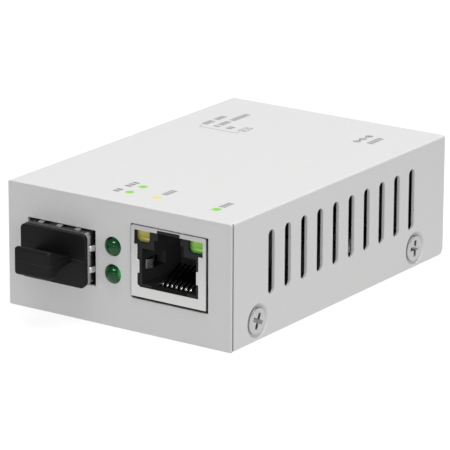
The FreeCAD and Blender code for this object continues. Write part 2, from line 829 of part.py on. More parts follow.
def sfp_spring_collar():
    """Band round the mouth of the cage, with bowed fingers that touch the panel's window."""
    body = new_body("sfp_spring_collar", x=s.sfp_x, y=CAGE_FRONT, z=s.sfp_z)
    wide = s.cage_width + s.collar_sheet * 2
    high = s.cage_height + s.collar_sheet * 2
    pad(body, "XZ", ZERO, s.collar_band, [
        rounded_box(ZERO, ZERO, wide, high, s.cage_corner + s.collar_sheet),
        rounded_box(ZERO, ZERO, s.cage_width, s.cage_height, s.cage_corner)])
    bow_top = s.sfp_window_height / 2 - s.finger_gap - high / 2
    bow_side = s.sfp_window_width / 2 - s.finger_gap - wide / 2
    start = s.collar_band / 2
    half = s.finger_width / 2
    for number in (-1, 0, 1):
        middle = s.top_finger_pitch * number
        strip = bowed_strip(start, s.finger_length, high / 2, bow_top, s.collar_sheet)
        finger = pad(body, "YZ", middle - half, middle + half, [strip])
        mirror(body, "XY", [finger])
    for number in (-0.5, 0.5):
        middle = s.side_finger_pitch * number
        strip = [swap(corner) for corner in
                 bowed_strip(start, s.finger_length, wide / 2, bow_side, s.collar_sheet)]
        finger = pad(body, "XY", middle - half, middle + half, [strip])
        mirror(body, "YZ", [finger])


def bowed_strip(start, length, level, bow, thickness):
    """Section of a strip that rises by its bow from a level and comes back to it."""
    middle = start + length / 2
    radius = (length * length / 4 + bow * bow) / (bow * 2)
    centre = level + bow - radius
    return [
        (start, level, middle, centre, -1), (start + length, level),
        (start + length, level - thickness, middle, centre - thickness, 1),
        (start, level - thickness)]


def swap(corner):
    """The same corner seen with its two coordinates exchanged, which turns arcs round."""
    if len(corner) == 2:
        return (corner[1], corner[0])
    return (corner[1], corner[0], corner[3], corner[2], -corner[4])


def sfp_host_connector():
    """Socket on the board at the back of the cage, with a slot for the module's edge."""
    back = CAGE_BACK - s.host_back_gap
    body = new_body("sfp_host_connector", x=s.sfp_x, y=back - s.host_depth, z=s.board_top)
    pad(body, "XY", ZERO, s.host_height, [middle_box(s.host_width, ZERO, s.host_depth)])
    soften(body, "Chamfer", "X", s.host_edge, lambda at: near(at.z, s.host_height))
    cut(body, "XZ", ZERO, s.host_slot_depth,
        [centred_box(ZERO, s.host_slot_z, s.host_slot_width, s.host_slot_height)])


def dust_plug():
    """Moulded plug: a grip hollowed to a web above and below, a flange, and a hollow insert."""
    body = new_body("dust_plug", x=s.sfp_x, y=CAGE_FRONT, z=s.sfp_z)
    side = s.flange_width / 2
    top = s.flange_height / 2
    corner = s.flange_corner
    pad(body, "XZ", -s.flange_thickness, ZERO, [[
        (s.flange_bevel - side, -top), (side - s.flange_bevel, -top), (side, s.flange_bevel - top),
        (side, top - corner, side - corner, top - corner, 1), (side - corner, top),
        (corner - side, top, corner - side, top - corner, 1), (-side, top - corner),
        (-side, s.flange_bevel - top)]])
    face = -s.flange_thickness
    end = face - s.grip_length
    bar = end + s.grip_bar
    tip = s.grip_height / 2
    web = s.grip_web / 2
    reach = face - bar
    rise = tip - web
    radius = (reach * reach + rise * rise) / (rise * 2)
    pad(body, "YZ", -s.grip_width / 2, s.grip_width / 2, [[
        (end, -tip), (bar, -tip, face, -web - radius, -1), (face, -web),
        (face, web, face, web + radius, -1), (bar, tip), (end, tip)]])
    soften(body, "Fillet", "X", s.grip_rounding, lambda at: near(at.y, end))
    soften(body, "Fillet", "Z", s.grip_rounding, lambda at: near(at.y, end))
    insert_width = s.cage_width - s.cage_sheet * 2 - s.plug_clearance * 2
    insert_height = s.cage_height - s.cage_sheet * 2 - s.plug_clearance * 2
    pad(body, "XZ", ZERO, s.plug_reach,
        [rounded_box(ZERO, ZERO, insert_width, insert_height, s.cage_corner - s.cage_sheet)])
    cut(body, "XZ", ZERO, s.plug_reach, [centred_box(
        ZERO, ZERO, insert_width - s.plug_wall * 2, insert_height - s.plug_wall * 2)])


def rj45_shield():
    """Folded shield round the jack, open below, with springs cut from its sides and bent in."""
    body = new_body("rj45_shield", x=s.rj45_x, y=RJ45_FRONT, z=s.board_top)
    t = s.shield_sheet
    outer = s.rj45_width / 2
    inner = outer - t
    pad(body, "XZ", ZERO, s.rj45_depth, [middle_box(s.rj45_width, ZERO, s.rj45_height)])
    soften(body, "Fillet", "Y", s.shield_bend, lambda at: near(at.z, s.rj45_height))
    cut(body, "XZ", t, s.rj45_depth - t, [middle_box(inner * 2, ZERO, s.rj45_height - t)])
    opening = s.shield_opening / 2
    lamp = s.shield_lamp_opening / 2
    latch = s.latch_width / 2
    lintel = s.rj45_height - s.shield_lintel
    right = [
        (opening - s.shield_bevel, s.shield_sill), (opening, s.shield_sill + s.shield_bevel),
        (opening, s.shield_lug_low), (opening - s.shield_lug, s.shield_lug_low),
        (opening - s.shield_lug, s.shield_lug_high), (opening, s.shield_lug_high),
        (opening, s.shield_lamp_step), (lamp, s.shield_lamp_step), (lamp, lintel),
        (latch, lintel), (latch, s.rj45_height - t)]
    cut(body, "XZ", ZERO, t, [right + [(-x, z) for x, z in reversed(right)]])
    window = cut(body, "YZ", inner, outer,
                 [box(s.spring_tip_y, s.spring_root_y, s.spring_low, s.spring_high)])
    bow = s.port_width / 2 - s.spring_bow
    tip = s.port_width / 2 + s.spring_tip_lift
    spring = pad(body, "XY", s.spring_low, s.spring_high, [[
        (inner, s.spring_root_y), (bow, s.spring_bow_y), (tip, s.spring_tip_y),
        (tip + t, s.spring_tip_y), (bow + t, s.spring_bow_y), (outer, s.spring_root_y)]])
    tab = pad(body, "YZ", inner, outer,
              [box(s.shield_tab_y - s.shield_tab_width / 2, s.shield_tab_y + s.shield_tab_width / 2,
                   PIN_END, ZERO)])
    mirror(body, "YZ", [window, spring, tab])


def rj45_housing():
    """Moulded insert of the jack: a stepped port, two lamp pockets and a trough for the comb."""
    body = new_body("rj45_housing", x=s.rj45_x, y=RJ45_FRONT, z=s.board_top)
    front = s.shield_sheet
    back = s.rj45_depth - s.shield_sheet
    width = s.rj45_width - s.shield_sheet * 2 - s.housing_clearance * 2
    height = s.rj45_height - s.shield_sheet - s.housing_clearance
    pad(body, "XZ", front, back, [middle_box(width, ZERO, height)])
    soften(body, "Chamfer", "Y", s.shield_bend, lambda at: near(at.z, height))
    port = s.port_width / 2
    floor = s.port_floor_width / 2
    key = s.key_width / 2
    right = [
        (floor, s.shield_sill), (floor, s.port_ledge_top), (port, s.port_ledge_top),
        (port, s.port_top), (key, s.port_top), (key, s.key_top)]
    cut(body, "XZ", front, s.port_depth, [right + [(-x, z) for x, z in reversed(right)]])
    cut(body, "XZ", front, s.latch_depth, [middle_box(s.latch_width, s.key_top, s.latch_top)])
    pocket = cut(body, "XZ", front, front + s.lamp_recess + s.lamp_length, [
        lamp_section(s.lamp_middle, LAMP_LOW, s.lamp_clearance)])
    window = cut(body, "XZ", s.spring_tip_y - s.spring_clearance,
                 s.spring_root_y + s.spring_clearance, [
                     box(port, width / 2, s.spring_low - s.spring_clearance,
                         s.spring_high + s.spring_clearance)])
    peg = pad(body, "XY", -s.peg_below, ZERO, [(s.peg_spread / 2, s.peg_y, s.peg_width)])
    mirror(body, "YZ", [pocket, window, peg])
    cut(body, "XY", ZERO, s.shield_sill,
        [middle_box(s.trough_width, s.trough_front, s.trough_back)])


def lamp_section(middle, low, clearance):
    """Section of the jack's lamp, grown by a clearance: square above, rounded below."""
    half = s.lamp_width / 2 + clearance
    left, right = middle - half, middle + half
    under, top = low - clearance, low + s.lamp_height + clearance
    corner = s.lamp_corner + clearance
    return [
        (left + corner, under), (right - corner, under, right - corner, under + corner, 1),
        (right, under + corner), (right, top), (left, top),
        (left, under + corner, left + corner, under + corner, 1)]


def rj45_comb():
    """Grooved block in the floor of the jack that keeps the contacts apart."""
    body = new_body("rj45_comb", x=s.rj45_x, y=RJ45_FRONT, z=s.board_top)
    gap = s.comb_clearance
    front = s.trough_front + gap
    back = s.trough_back - gap
    pad(body, "XY", ZERO, s.comb_height, [middle_box(s.trough_width - gap * 2, front, back)])
    low = s.contact_run_height - s.contact_thickness
    first = contact_x(0)
    groove = cut(body, "XZ", front, back, [
        box(first - s.contact_groove / 2, first + s.contact_groove / 2, low, s.comb_height)])
    repeat(body, "X", s.contact_pitch, s.contact_count, [groove])
    for row in (0, 1):
        hole = cut(body, "XY", ZERO, low, [square(contact_x(row), contact_tail(row), s.comb_hole)])
        repeat(body, "X", s.contact_pitch * 2, s.contact_count / 2, [hole])


def rj45_contacts():
    """Eight spring wires: from the board up, forward, round the bend and back up at a slope."""
    body = new_body("rj45_contacts", x=s.rj45_x, y=RJ45_FRONT, z=s.board_top)
    h = s.contact_thickness / 2
    run = s.contact_run_height
    bend = s.contact_bend_y
    top = run + s.contact_bend * 2
    middle = run + s.contact_bend
    for row in (0, 1):
        tail = contact_tail(row)
        x = contact_x(row)
        pad(body, "YZ", x - s.contact_width / 2, x + s.contact_width / 2, [[
            (tail + h, PIN_END), (tail + h, run + h), (bend, run + h, bend, middle, -1),
            (bend, top - h), (s.contact_tip_y, s.contact_tip_z - h),
            (s.contact_tip_y, s.contact_tip_z + h), (bend, top + h, bend, middle, 1),
            (bend, run - h), (tail - h, run - h), (tail - h, PIN_END)]])
    repeat(body, "X", s.contact_pitch * 2, s.contact_count / 2)


def rj45_lamps():
    """The jack's two lamps: clear blocks set back in its upper corners."""
    front = s.shield_sheet + s.lamp_recess
    for name, side in (("left", -1), ("right", 1)):
        body = new_body(f"rj45_lamp_{name}", x=s.rj45_x + s.lamp_middle * side, y=RJ45_FRONT,
                        z=s.board_top + LAMP_LOW)
        pad(body, "XZ", front, front + s.lamp_length, [lamp_section(ZERO, ZERO, ZERO)])


def status_lamps():
    """Two round lamps with domed tips and a rim at the base."""
    radius = s.led_width / 2
    rim = s.led_rim_width / 2
    for name, height in (("upper", s.led_upper_z), ("lower", LED_LOWER_Z)):
        body = new_body(f"status_lamp_{name}", x=s.led_x, y=LED_TIP, z=height)
        turn(body, "YZ", "H_Axis", [
            (ZERO, ZERO, radius, ZERO, -1), (radius, radius),
            (s.led_length - s.led_rim_length, radius), (s.led_length - s.led_rim_length, rim),
            (s.led_length, rim), (s.led_length, ZERO)])


def lamp_holder():
    """Block on the board that carries both status lamps, bored for their leads."""
    body = new_body("lamp_holder", x=s.led_x, y=LED_BASE, z=s.board_top)
    top = s.led_upper_z + s.holder_above - s.board_top
    pad(body, "XZ", ZERO, s.holder_depth, [middle_box(s.holder_width, ZERO, top)])
    soften(body, "Fillet", "Y", s.holder_corner, lambda at: near(at.z, top))
    holes = []
    for side in (-1, 1):
        for height in (s.led_upper_z, LED_LOWER_Z):
            holes.append(square(s.led_lead_pitch / 2 * side, height - s.board_top,
                                s.led_lead_hole))
    cut(body, "XZ", ZERO, s.holder_depth, holes)


def lamp_leads():
    """Square leads of the status lamps: back through the holder, then down through the board."""
    body = new_body("lamp_leads", x=s.led_x, y=LED_BASE, z=s.board_top)
    h = s.led_lead_width / 2
    x = -(s.led_lead_pitch / 2)
    for step, height in ((2, s.led_upper_z - s.board_top), (1, LED_LOWER_Z - s.board_top)):
        back = s.holder_depth + led_lead_back(step)
        pad(body, "YZ", x - h, x + h, [[
            (ZERO, height - h), (back - h, height - h), (back - h, PIN_END), (back + h, PIN_END),
            (back + h, height + h), (ZERO, height + h)]])
    mirror(body, "YZ")


def dc_jack_body():
    """Moulded power jack: a square flange at the open end and a round-topped barrel behind."""
    body = new_body("dc_jack_body", x=DC_X, y=DC_FACE, z=s.board_top)
    pad(body, "XZ", -s.dc_flange, ZERO, [middle_box(s.dc_width, ZERO, s.dc_height)])
    half = s.dc_barrel_width / 2
    pad(body, "XZ", -s.dc_length, -s.dc_flange, [[
        (-half, ZERO), (half, ZERO), (half, s.dc_axis, ZERO, s.dc_axis, 1), (-half, s.dc_axis)]])
    cut(body, "XZ", -s.dc_bore_depth, ZERO, [(ZERO, s.dc_axis, s.dc_bore)])
    cut(body, "XZ", -s.dc_length, -s.dc_bore_depth, [(ZERO, s.dc_axis, s.dc_pin_root)])


def dc_jack_pin():
    """Centre pin with a domed tip, riveted through the back of the barrel."""
    body = new_body("dc_jack_pin", x=DC_X, y=DC_FACE, z=DC_AXIS_Z)
    radius = s.dc_pin_width / 2
    root = s.dc_pin_root / 2
    tip = -s.dc_pin_back
    back = -s.dc_length - s.dc_strip
    turn(body, "YZ", "H_Axis", [
        (back, ZERO), (tip, ZERO, tip - radius, ZERO, 1), (tip - radius, radius),
        (-s.dc_bore_depth, radius), (-s.dc_bore_depth, root), (back, root)])


def dc_jack_terminals():
    """Three flat strips: the pin's behind the barrel, the sleeve's below it, the switch's beside it."""
    body = new_body("dc_jack_terminals", x=DC_X, y=DC_FACE, z=s.board_top)
    half = s.dc_strip_width / 2
    rear, sleeve, switch = dc_strips()
    thick = s.dc_strip / 2
    pad(body, "XZ", rear[1] - thick, rear[1] + thick, [
        box(-half, half, PIN_END, s.dc_axis + half), (ZERO, s.dc_axis, s.dc_pin_root)])
    pad(body, "XZ", sleeve[1] - thick, sleeve[1] + thick, [box(-half, half, PIN_END, ZERO)])
    pad(body, "YZ", switch[0] - thick, switch[0] + thick,
        [box(switch[1] - half, switch[1] + half, PIN_END, s.dc_switch_height)])


def dip_switch_body():
    """Two-way switch block, with a slot in its face for each slider."""
    body = new_body("dip_switch_body", x=DIP_X, y=DIP_FACE, z=s.board_top)
    pad(body, "XZ", -s.dip_depth, ZERO, [middle_box(s.dip_width, ZERO, s.dip_height)])
    soften(body, "Chamfer", "X", s.mould_edge, lambda at: near(at.z, s.dip_height))
    for side in (-0.5, 0.5):
        cut(body, "XZ", -s.dip_slot_depth, ZERO, [centred_box(
            s.dip_pitch * side, s.dip_axis, s.dip_slot_width, s.dip_slot_height)])


def dip_sliders():
    """The two sliders, both at the lower end of their slots."""
    rest = DIP_AXIS_Z - s.dip_slot_height / 2 + s.slider_gap
    for name, side in (("left", -0.5), ("right", 0.5)):
        body = new_body(f"dip_slider_{name}", x=DIP_X + s.dip_pitch * side, y=DIP_FACE, z=rest)
        pad(body, "XZ", -s.dip_slot_depth + s.slider_gap, s.slider_proud,
            [middle_box(s.slider_width, ZERO, s.slider_height)])
        soften(body, "Fillet", "X", s.slider_edge, lambda at: near(at.y, s.slider_proud))


def dip_switch_pins():
    body = new_body("dip_switch_pins", x=DIP_X, y=DIP_FACE - s.dip_depth / 2, z=s.board_top)
    pins = [centred_box(s.dip_pitch / 2 * side, dip_pin_y(step), s.dip_pin_width, s.dip_pin_width)
            for side in (-1, 1) for step in (1, 2)]
    pad(body, "XY", PIN_END, ZERO, pins)


def controller_chip():
    """Flat square chip with a dimple at its first contact."""
    body = new_body("controller_chip", x=s.controller_x, y=CONTROLLER_Y, z=s.board_top)
    top = s.controller_height
    pad(body, "XY", ZERO, top, [square(ZERO, ZERO, s.controller_size)])
    for axis in ("X", "Y"):
        soften(body, "Chamfer", axis, s.controller_edge, lambda at: near(at.z, top))
    cut(body, "XY", top - s.controller_edge, top,
        [(-s.controller_mark, s.controller_mark, s.controller_mark_width)])


def line_transformer():
    """Moulded block behind the network jack, undercut along both sides for its leads."""
    body = new_body("line_transformer", x=s.transformer_x, y=TRANSFORMER_Y, z=s.board_top)
    half = s.transformer_depth / 2
    step = s.transformer_undercut
    pad(body, "YZ", -(s.transformer_width / 2), s.transformer_width / 2, [[
        (-half + step, ZERO), (half - step, ZERO), (half - step, step), (half, step * 2),
        (half, s.transformer_height), (-half, s.transformer_height), (-half, step * 2),
        (-half + step, step)]])
    soften(body, "Chamfer", "X", s.mould_edge, lambda at: near(at.z, s.transformer_height))


def crystal():
    """Round-ended metal can on a wider base plate."""
    body = new_body("crystal", x=s.crystal_x, y=TRANSFORMER_Y, z=s.board_top)
    reach = (s.crystal_length - s.crystal_width) / 2
    half = s.crystal_width / 2
    rim = s.mould_edge
    for low, high, edge in ((ZERO, rim, half), (rim, s.crystal_height, half - rim)):
        pad(body, "XY", low, high, [[
            (edge, -reach), (edge, reach, ZERO, reach, 1), (-edge, reach),
            (-edge, -reach, ZERO, -reach, 1)]])


def power_inductor():
    """Round ferrite core on a square base."""
    body = new_body("power_inductor", x=INDUCTOR_X, y=BACK - s.inductor_from_back, z=s.board_top)
    pad(body, "XY", ZERO, s.inductor_foot, [square(ZERO, ZERO, s.inductor_size)])
    soften(body, "Chamfer", "Z", s.inductor_corner, lambda at: True)
    pad(body, "XY", s.inductor_foot, s.inductor_height, [(ZERO, ZERO, s.inductor_core)])
    soften_rim(body, s.inductor_height, s.inductor_rim, axis="z")


def electrolytic_capacitors():
    """Two round cans on square bases."""
    body = new_body("electrolytic_capacitors", x=CAPACITOR_X - s.capacitor_pitch,
                    y=BACK - s.capacitor_from_back, z=s.board_top)
    pad(body, "XY", ZERO, s.capacitor_foot, [square(ZERO, ZERO, s.capacitor_width)])
    soften(body, "Chamfer", "Z", s.capacitor_corner, lambda at: at.x > 0)
    pad(body, "XY", s.capacitor_foot, s.capacitor_height, [(ZERO, ZERO, s.capacitor_can)])
    soften_rim(body, s.capacitor_height, s.capacitor_rim, axis="z")
    repeat(body, "X", s.capacitor_pitch, 2)


def moulded_chip(name, x, y, width, depth, height):
    """A small moulded block with a chamfered top."""
    body = new_body(name, x=x, y=y, z=s.board_top)
    pad(body, "XY", ZERO, height, [centred_box(ZERO, ZERO, width, depth)])
    soften(body, "Chamfer", "X", s.mould_edge, lambda at: near(at.z, height))


def small_chips():
    moulded_chip("memory_chip", MEMORY_X, CONTROLLER_Y, s.memory_width, s.memory_depth,
                 s.memory_height)
    moulded_chip("regulator", SIDE - s.regulator_from_side, REGULATOR_Y, s.regulator_width,
                 s.regulator_depth, s.regulator_height)


def build():
    fill_sheet()
    for make in (
            top_cover, base_tray, cover_screws, circuit_board, board_posts, board_screws, sfp_cage,
            sfp_spring_collar, sfp_host_connector, dust_plug, rj45_shield, rj45_housing, rj45_comb,
            rj45_contacts, rj45_lamps, status_lamps, lamp_holder, lamp_leads, dc_jack_body,
            dc_jack_pin, dc_jack_terminals, dip_switch_body, dip_sliders, dip_switch_pins,
            controller_chip, line_transformer, crystal, power_inductor, electrolytic_capacitors,
            small_chips):
        make()
    document.recompute()


def check():
    """Stop if any object failed, or any sub-part has no sound shape."""
    for item in document.Objects:
        if "Invalid" in item.State or "Error" in item.State:
            raise RuntimeError(f"{item.Label} failed: {item.State}")
    for part in parts:
        if part.Shape.isNull() or not part.Shape.isValid() or not part.Shape.Solids:
            raise RuntimeError(f"{part.Label} has no valid shape")


def export():
    os.makedirs("parts", exist_ok=True)
    for part in parts:
        part.Shape.exportStep(f"parts/{part.Label}.step")
        print(f"{part.Label}: {len(part.Shape.Solids)} solids, {part.Shape.Volume:.1f} mm3")


build()
check()
export()
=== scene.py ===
import json
import math

import bmesh
import bpy
from mathutils import Matrix, Quaternion, Vector

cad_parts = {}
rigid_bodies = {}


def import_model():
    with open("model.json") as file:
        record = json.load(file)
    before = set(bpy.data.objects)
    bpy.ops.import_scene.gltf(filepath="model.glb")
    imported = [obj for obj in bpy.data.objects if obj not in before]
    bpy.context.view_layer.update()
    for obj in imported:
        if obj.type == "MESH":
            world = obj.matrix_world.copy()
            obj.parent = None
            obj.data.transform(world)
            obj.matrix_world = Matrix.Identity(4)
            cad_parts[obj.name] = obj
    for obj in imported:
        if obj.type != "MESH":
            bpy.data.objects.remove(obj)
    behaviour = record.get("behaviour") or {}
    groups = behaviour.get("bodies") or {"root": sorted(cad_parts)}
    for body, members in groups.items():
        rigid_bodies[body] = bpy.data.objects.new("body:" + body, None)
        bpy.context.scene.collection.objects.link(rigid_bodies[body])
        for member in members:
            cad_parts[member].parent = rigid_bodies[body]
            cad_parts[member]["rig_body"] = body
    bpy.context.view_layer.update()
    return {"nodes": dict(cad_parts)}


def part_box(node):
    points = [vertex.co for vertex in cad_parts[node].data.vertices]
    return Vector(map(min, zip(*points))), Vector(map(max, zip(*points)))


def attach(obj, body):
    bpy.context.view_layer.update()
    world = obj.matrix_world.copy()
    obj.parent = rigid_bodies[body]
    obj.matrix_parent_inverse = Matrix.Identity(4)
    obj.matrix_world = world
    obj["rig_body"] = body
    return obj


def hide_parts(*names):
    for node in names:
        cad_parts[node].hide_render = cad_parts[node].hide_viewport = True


# The finish of a fibre media converter: powder-coated sheet steel, bright plated fittings, black
# mouldings, clear lamps and the print on the cover. Metres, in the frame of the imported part.

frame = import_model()
NODES = frame["nodes"]
MM = 0.001

COVER_LOW, COVER_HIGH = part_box("top_cover")
CASE_MIDDLE = Vector((0.0, 0.0, COVER_HIGH.z / 2))
JOINT_Y = -35.27 * MM       # where the front panel meets the cover's sides

WELD = 0.001 * MM           # corners nearer than this are one
FLAT = math.radians(0.3)    # faces that turn less than this are one
SHARP = math.radians(30)    # edges that turn more than this are bevelled
SMOOTH = math.radians(38)   # edges that turn less than this are shaded smooth
CORNER_REACH = 0.53 * MM    # how near to a corner to be squared its points lie
CORNER_DEPTH = 0.8 * MM     # how far behind a node's front they lie
MARGIN = 0.1 * MM

# Small moves that follow the photo: a box's low and high corners and the shift of what is in it,
# in millimetres.
JACK_WINDOW_MOVES = [((2.8, -36.1, 20.4), (19.8, -35.3, 20.6), (0, 0, -0.23)),
                     ((2.8, -36.1, 6.5), (19.8, -35.3, 6.7), (0, 0, -0.25))]
SHIELD_MOVES = [((4.75, -36.4, 8.7), (5.4, -36.0, 16.9), (-0.27, 0, 0))]
SHIELD_CORNER = (17.75 * MM, 8.85 * MM)
PLUG_SIDES, PLUG_FRONT, PLUG_BACK, PLUG_TOP, PLUG_DROP = 30, -46, -36.05, 30, (0, 0, -0.12)


# Meshes and pieces

def new_piece(name, mesh, body, finish):
    """An object of the model that rides on a body and takes the finish it is given."""
    data = bpy.data.meshes.new(name)
    mesh.to_mesh(data)
    mesh.free()
    for polygon in data.polygons:
        polygon.use_smooth = True
    data.set_sharp_from_angle(angle=SMOOTH)
    data.materials.append(finish)
    piece = bpy.data.objects.new(name, data)
    bpy.context.scene.collection.objects.link(piece)
    weights = piece.modifiers.new("normals", "WEIGHTED_NORMAL")
    weights.keep_sharp = True
    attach(piece, body)
    return piece


def square(mesh, corners, reach, low_y, high_y):
    """Draw what lies close to each (x, z) corner into it, between two depths."""
    for corner_x, corner_z in corners:
        for vertex in mesh.verts:
            near = abs(vertex.co.x - corner_x) < reach and abs(vertex.co.z - corner_z) < reach
            if near and low_y < vertex.co.y < high_y:
                vertex.co.x, vertex.co.z = corner_x, corner_z


def nudge(mesh, low, high, shift):
    """Move the corners that lie within a box, all in millimetres."""
    for vertex in mesh.verts:
        if all(low[axis] < vertex.co[axis] / MM < high[axis] for axis in range(3)):
            vertex.co += Vector(shift) * MM


def dress(node, finish, edge, steps=2, corners=(), nudges=()):
    """A copy of a CAD node with its sharp edges rounded, which stands for it.

    Corners are (x, z) places that its front is drawn into, and nudges are moves of its points.
    """
    source = NODES[node]
    mesh = bmesh.new()
    mesh.from_mesh(source.data)
    if corners:
        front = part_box(node)[0].y
        square(mesh, corners, CORNER_REACH, front - MARGIN, front + CORNER_DEPTH)
    bmesh.ops.remove_doubles(mesh, verts=mesh.verts, dist=WELD)
    bmesh.ops.dissolve_limit(mesh, angle_limit=FLAT, verts=mesh.verts, edges=mesh.edges,
                             delimit=set())
    for low, high, shift in nudges:
        nudge(mesh, low, high, shift)
    sharp = [line for line in mesh.edges
             if line.is_manifold and line.calc_face_angle() > SHARP]
    bmesh.ops.bevel(mesh, geom=sharp, offset=edge, offset_type="OFFSET", segments=steps,
                    profile=0.5, affect="EDGES", clamp_overlap=True)
    piece = new_piece(f"{node}_finish", mesh, source["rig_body"], finish)
    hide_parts(node)
    return piece


def coat(finish, *nodes):
    """Give CAD nodes that keep their own shape a finish."""
    for node in nodes:
        for socket in NODES[node].material_slots:
            socket.material = finish


def prism(mesh, outline, low, high):
    """Add an upright prism over an outline of (x, y) corners, listed anticlockwise."""
    under = [mesh.verts.new((x, y, low)) for x, y in outline]
    over = [mesh.verts.new((x, y, high)) for x, y in outline]
    mesh.faces.new(list(reversed(under)))
    mesh.faces.new(over)
    for number in range(len(outline)):
        following = (number + 1) % len(outline)
        mesh.faces.new((under[number], under[following], over[following], over[number]))


def turns(steps):
    """The angles of even steps round a full circle."""
    return [2 * math.pi * step / steps for step in range(steps)]


def lathe(mesh, profile, steps, matrix):
    """Add a turned form about the local X axis from (along, radius) points, ends on the axis."""
    rings = []
    for along, radius in profile:
        places = [Vector((along, radius * math.cos(turn), radius * math.sin(turn)))
                  for turn in turns(steps)] if radius else [Vector((along, 0, 0))]
        rings.append([mesh.verts.new(matrix @ place) for place in places])
    for first, second in zip(rings, rings[1:]):
        for step in range(steps):
            following = (step + 1) % steps
            corners = [first[step % len(first)], first[following % len(first)],
                       second[following % len(second)], second[step % len(second)]]
            mesh.faces.new(list(dict.fromkeys(corners)))
    bmesh.ops.recalc_face_normals(mesh, faces=mesh.faces)


# Shader nodes

def ranged(tree, amount, low, high, start=0.0, end=1.0):
    """An amount carried over from low and high to start and end, and held beyond them."""
    scale = tree.nodes.new("ShaderNodeMapRange")
    for socket, value in (("From Min", low), ("From Max", high),
                          ("To Min", start), ("To Max", end)):
        scale.inputs[socket].default_value = value
    tree.links.new(amount, scale.inputs["Value"])
    return scale.outputs["Result"]


def reckon(tree, operation, first, second=None):
    """A node that works out a number from one amount, or from two."""
    node = tree.nodes.new("ShaderNodeMath")
    node.operation = operation
    tree.links.new(first, node.inputs[0])
    if second is not None:
        tree.links.new(second, node.inputs[1])
    return node


# Finishes

class Finish:
    """A material of one Principled shader, with its colour, gloss and relief from noise."""

    def __init__(self, name, colour, **sockets):
        self.material = bpy.data.materials.new(name)
        self.material.use_nodes = True
        self.tree = self.material.node_tree
        self.shader = self.tree.nodes["Principled BSDF"]
        self.shader.inputs["Base Color"].default_value = (*colour, 1.0)
        self.normal = None
        for key, value in sockets.items():
            self.shader.inputs[key.replace("_", " ")].default_value = value

    def place(self):
        """Where a point lies, in the object's own coordinates."""
        return self.tree.nodes.new("ShaderNodeTexCoord").outputs["Object"]

    def noise(self, size, stretch=(1, 1, 1), turn=(0, 0, 0), detail=2.0):
        """Noise in the object's own coordinates, with grains about size across."""
        mapping = self.tree.nodes.new("ShaderNodeMapping")
        mapping.vector_type = "TEXTURE"
        mapping.inputs["Rotation"].default_value = turn
        mapping.inputs["Scale"].default_value = [size * factor for factor in stretch]
        pattern = self.tree.nodes.new("ShaderNodeTexNoise")
        pattern.inputs["Scale"].default_value = 1.0
        pattern.inputs["Detail"].default_value = detail
        self.tree.links.new(self.place(), mapping.inputs["Vector"])
        self.tree.links.new(mapping.outputs["Vector"], pattern.inputs["Vector"])
        return pattern.outputs["Fac"]

    def coordinate(self, axis):
        """How far along one axis of the object a point lies, in metres."""
        parts = self.tree.nodes.new("ShaderNodeSeparateXYZ")
        self.tree.links.new(self.place(), parts.inputs["Vector"])
        return parts.outputs[axis]

    def height(self, axis, low, high):
        """How far along one axis of the object a point lies, from 0 at low to 1 at high."""
        return ranged(self.tree, self.coordinate(axis), low, high)

    def seam(self, axis, place, half):
        """1 along a line around the object at one height, falling to 0 at half its width."""
        away = reckon(self.tree, "SUBTRACT", self.coordinate(axis))
        away.inputs[1].default_value = place
        size = reckon(self.tree, "ABSOLUTE", away.outputs["Value"])
        return ranged(self.tree, size.outputs["Value"], 0.0, half, 1.0, 0.0)

    def reach(self, vector, direction):
        """How far a vector goes in a direction."""
        product = self.tree.nodes.new("ShaderNodeVectorMath")
        product.operation = "DOT_PRODUCT"
        product.inputs[1].default_value = direction
        self.tree.links.new(vector, product.inputs[0])
        return product.outputs["Value"]

    def along(self, direction, low, high):
        """How far a point lies in a direction, from 0 at low to 1 at high."""
        return ranged(self.tree, self.reach(self.place(), direction), low, high)

    def facing(self, direction, low, high):
        """How squarely the surface faces a direction, from 0 at low to 1 at high."""
        normal = self.tree.nodes.new("ShaderNodeNewGeometry").outputs["Normal"]
        return ranged(self.tree, self.reach(normal, direction), low, high)

    def both(self, first, second):
        """The product of two amounts."""
        return reckon(self.tree, "MULTIPLY", first, second).outputs["Value"]

    def colour(self, amount, low, high):
        """Blend the base colour between two by an amount."""
        self.shader.inputs["Base Color"].default_value = (*low, 1.0)
        return self.tint(amount, high)

    def tint(self, amount, tone):
        """Blend the base colour as it is towards a tone by an amount."""
        base = self.shader.inputs["Base Color"]
        mix = self.tree.nodes.new("ShaderNodeMix")
        mix.data_type = "RGBA"
        mix.inputs["A"].default_value = base.default_value
        if base.is_linked:
            self.tree.links.new(base.links[0].from_socket, mix.inputs["A"])
        mix.inputs["B"].default_value = (*tone, 1.0)
        self.tree.links.new(amount, mix.inputs["Factor"])
        self.tree.links.new(mix.outputs["Result"], base)
        return self

    def gloss(self, amount, low, high):
        """Vary the roughness between two values by an amount."""
        rough = ranged(self.tree, amount, 0.0, 1.0, low, high)
        self.tree.links.new(rough, self.shader.inputs["Roughness"])
        return self

    def relief(self, amount, depth):
        """Raise the surface by an amount, over what relief it has already."""
        bump = self.tree.nodes.new("ShaderNodeBump")
        bump.inputs["Distance"].default_value = depth
        self.tree.links.new(amount, bump.inputs["Height"])
        if self.normal:
            self.tree.links.new(self.normal, bump.inputs["Normal"])
        self.normal = bump.outputs["Normal"]
        self.tree.links.new(self.normal, self.shader.inputs["Normal"])
        return self


def shade(colour, factor):
    """A colour made darker, or paler above 1."""
    return tuple(part * factor for part in colour)


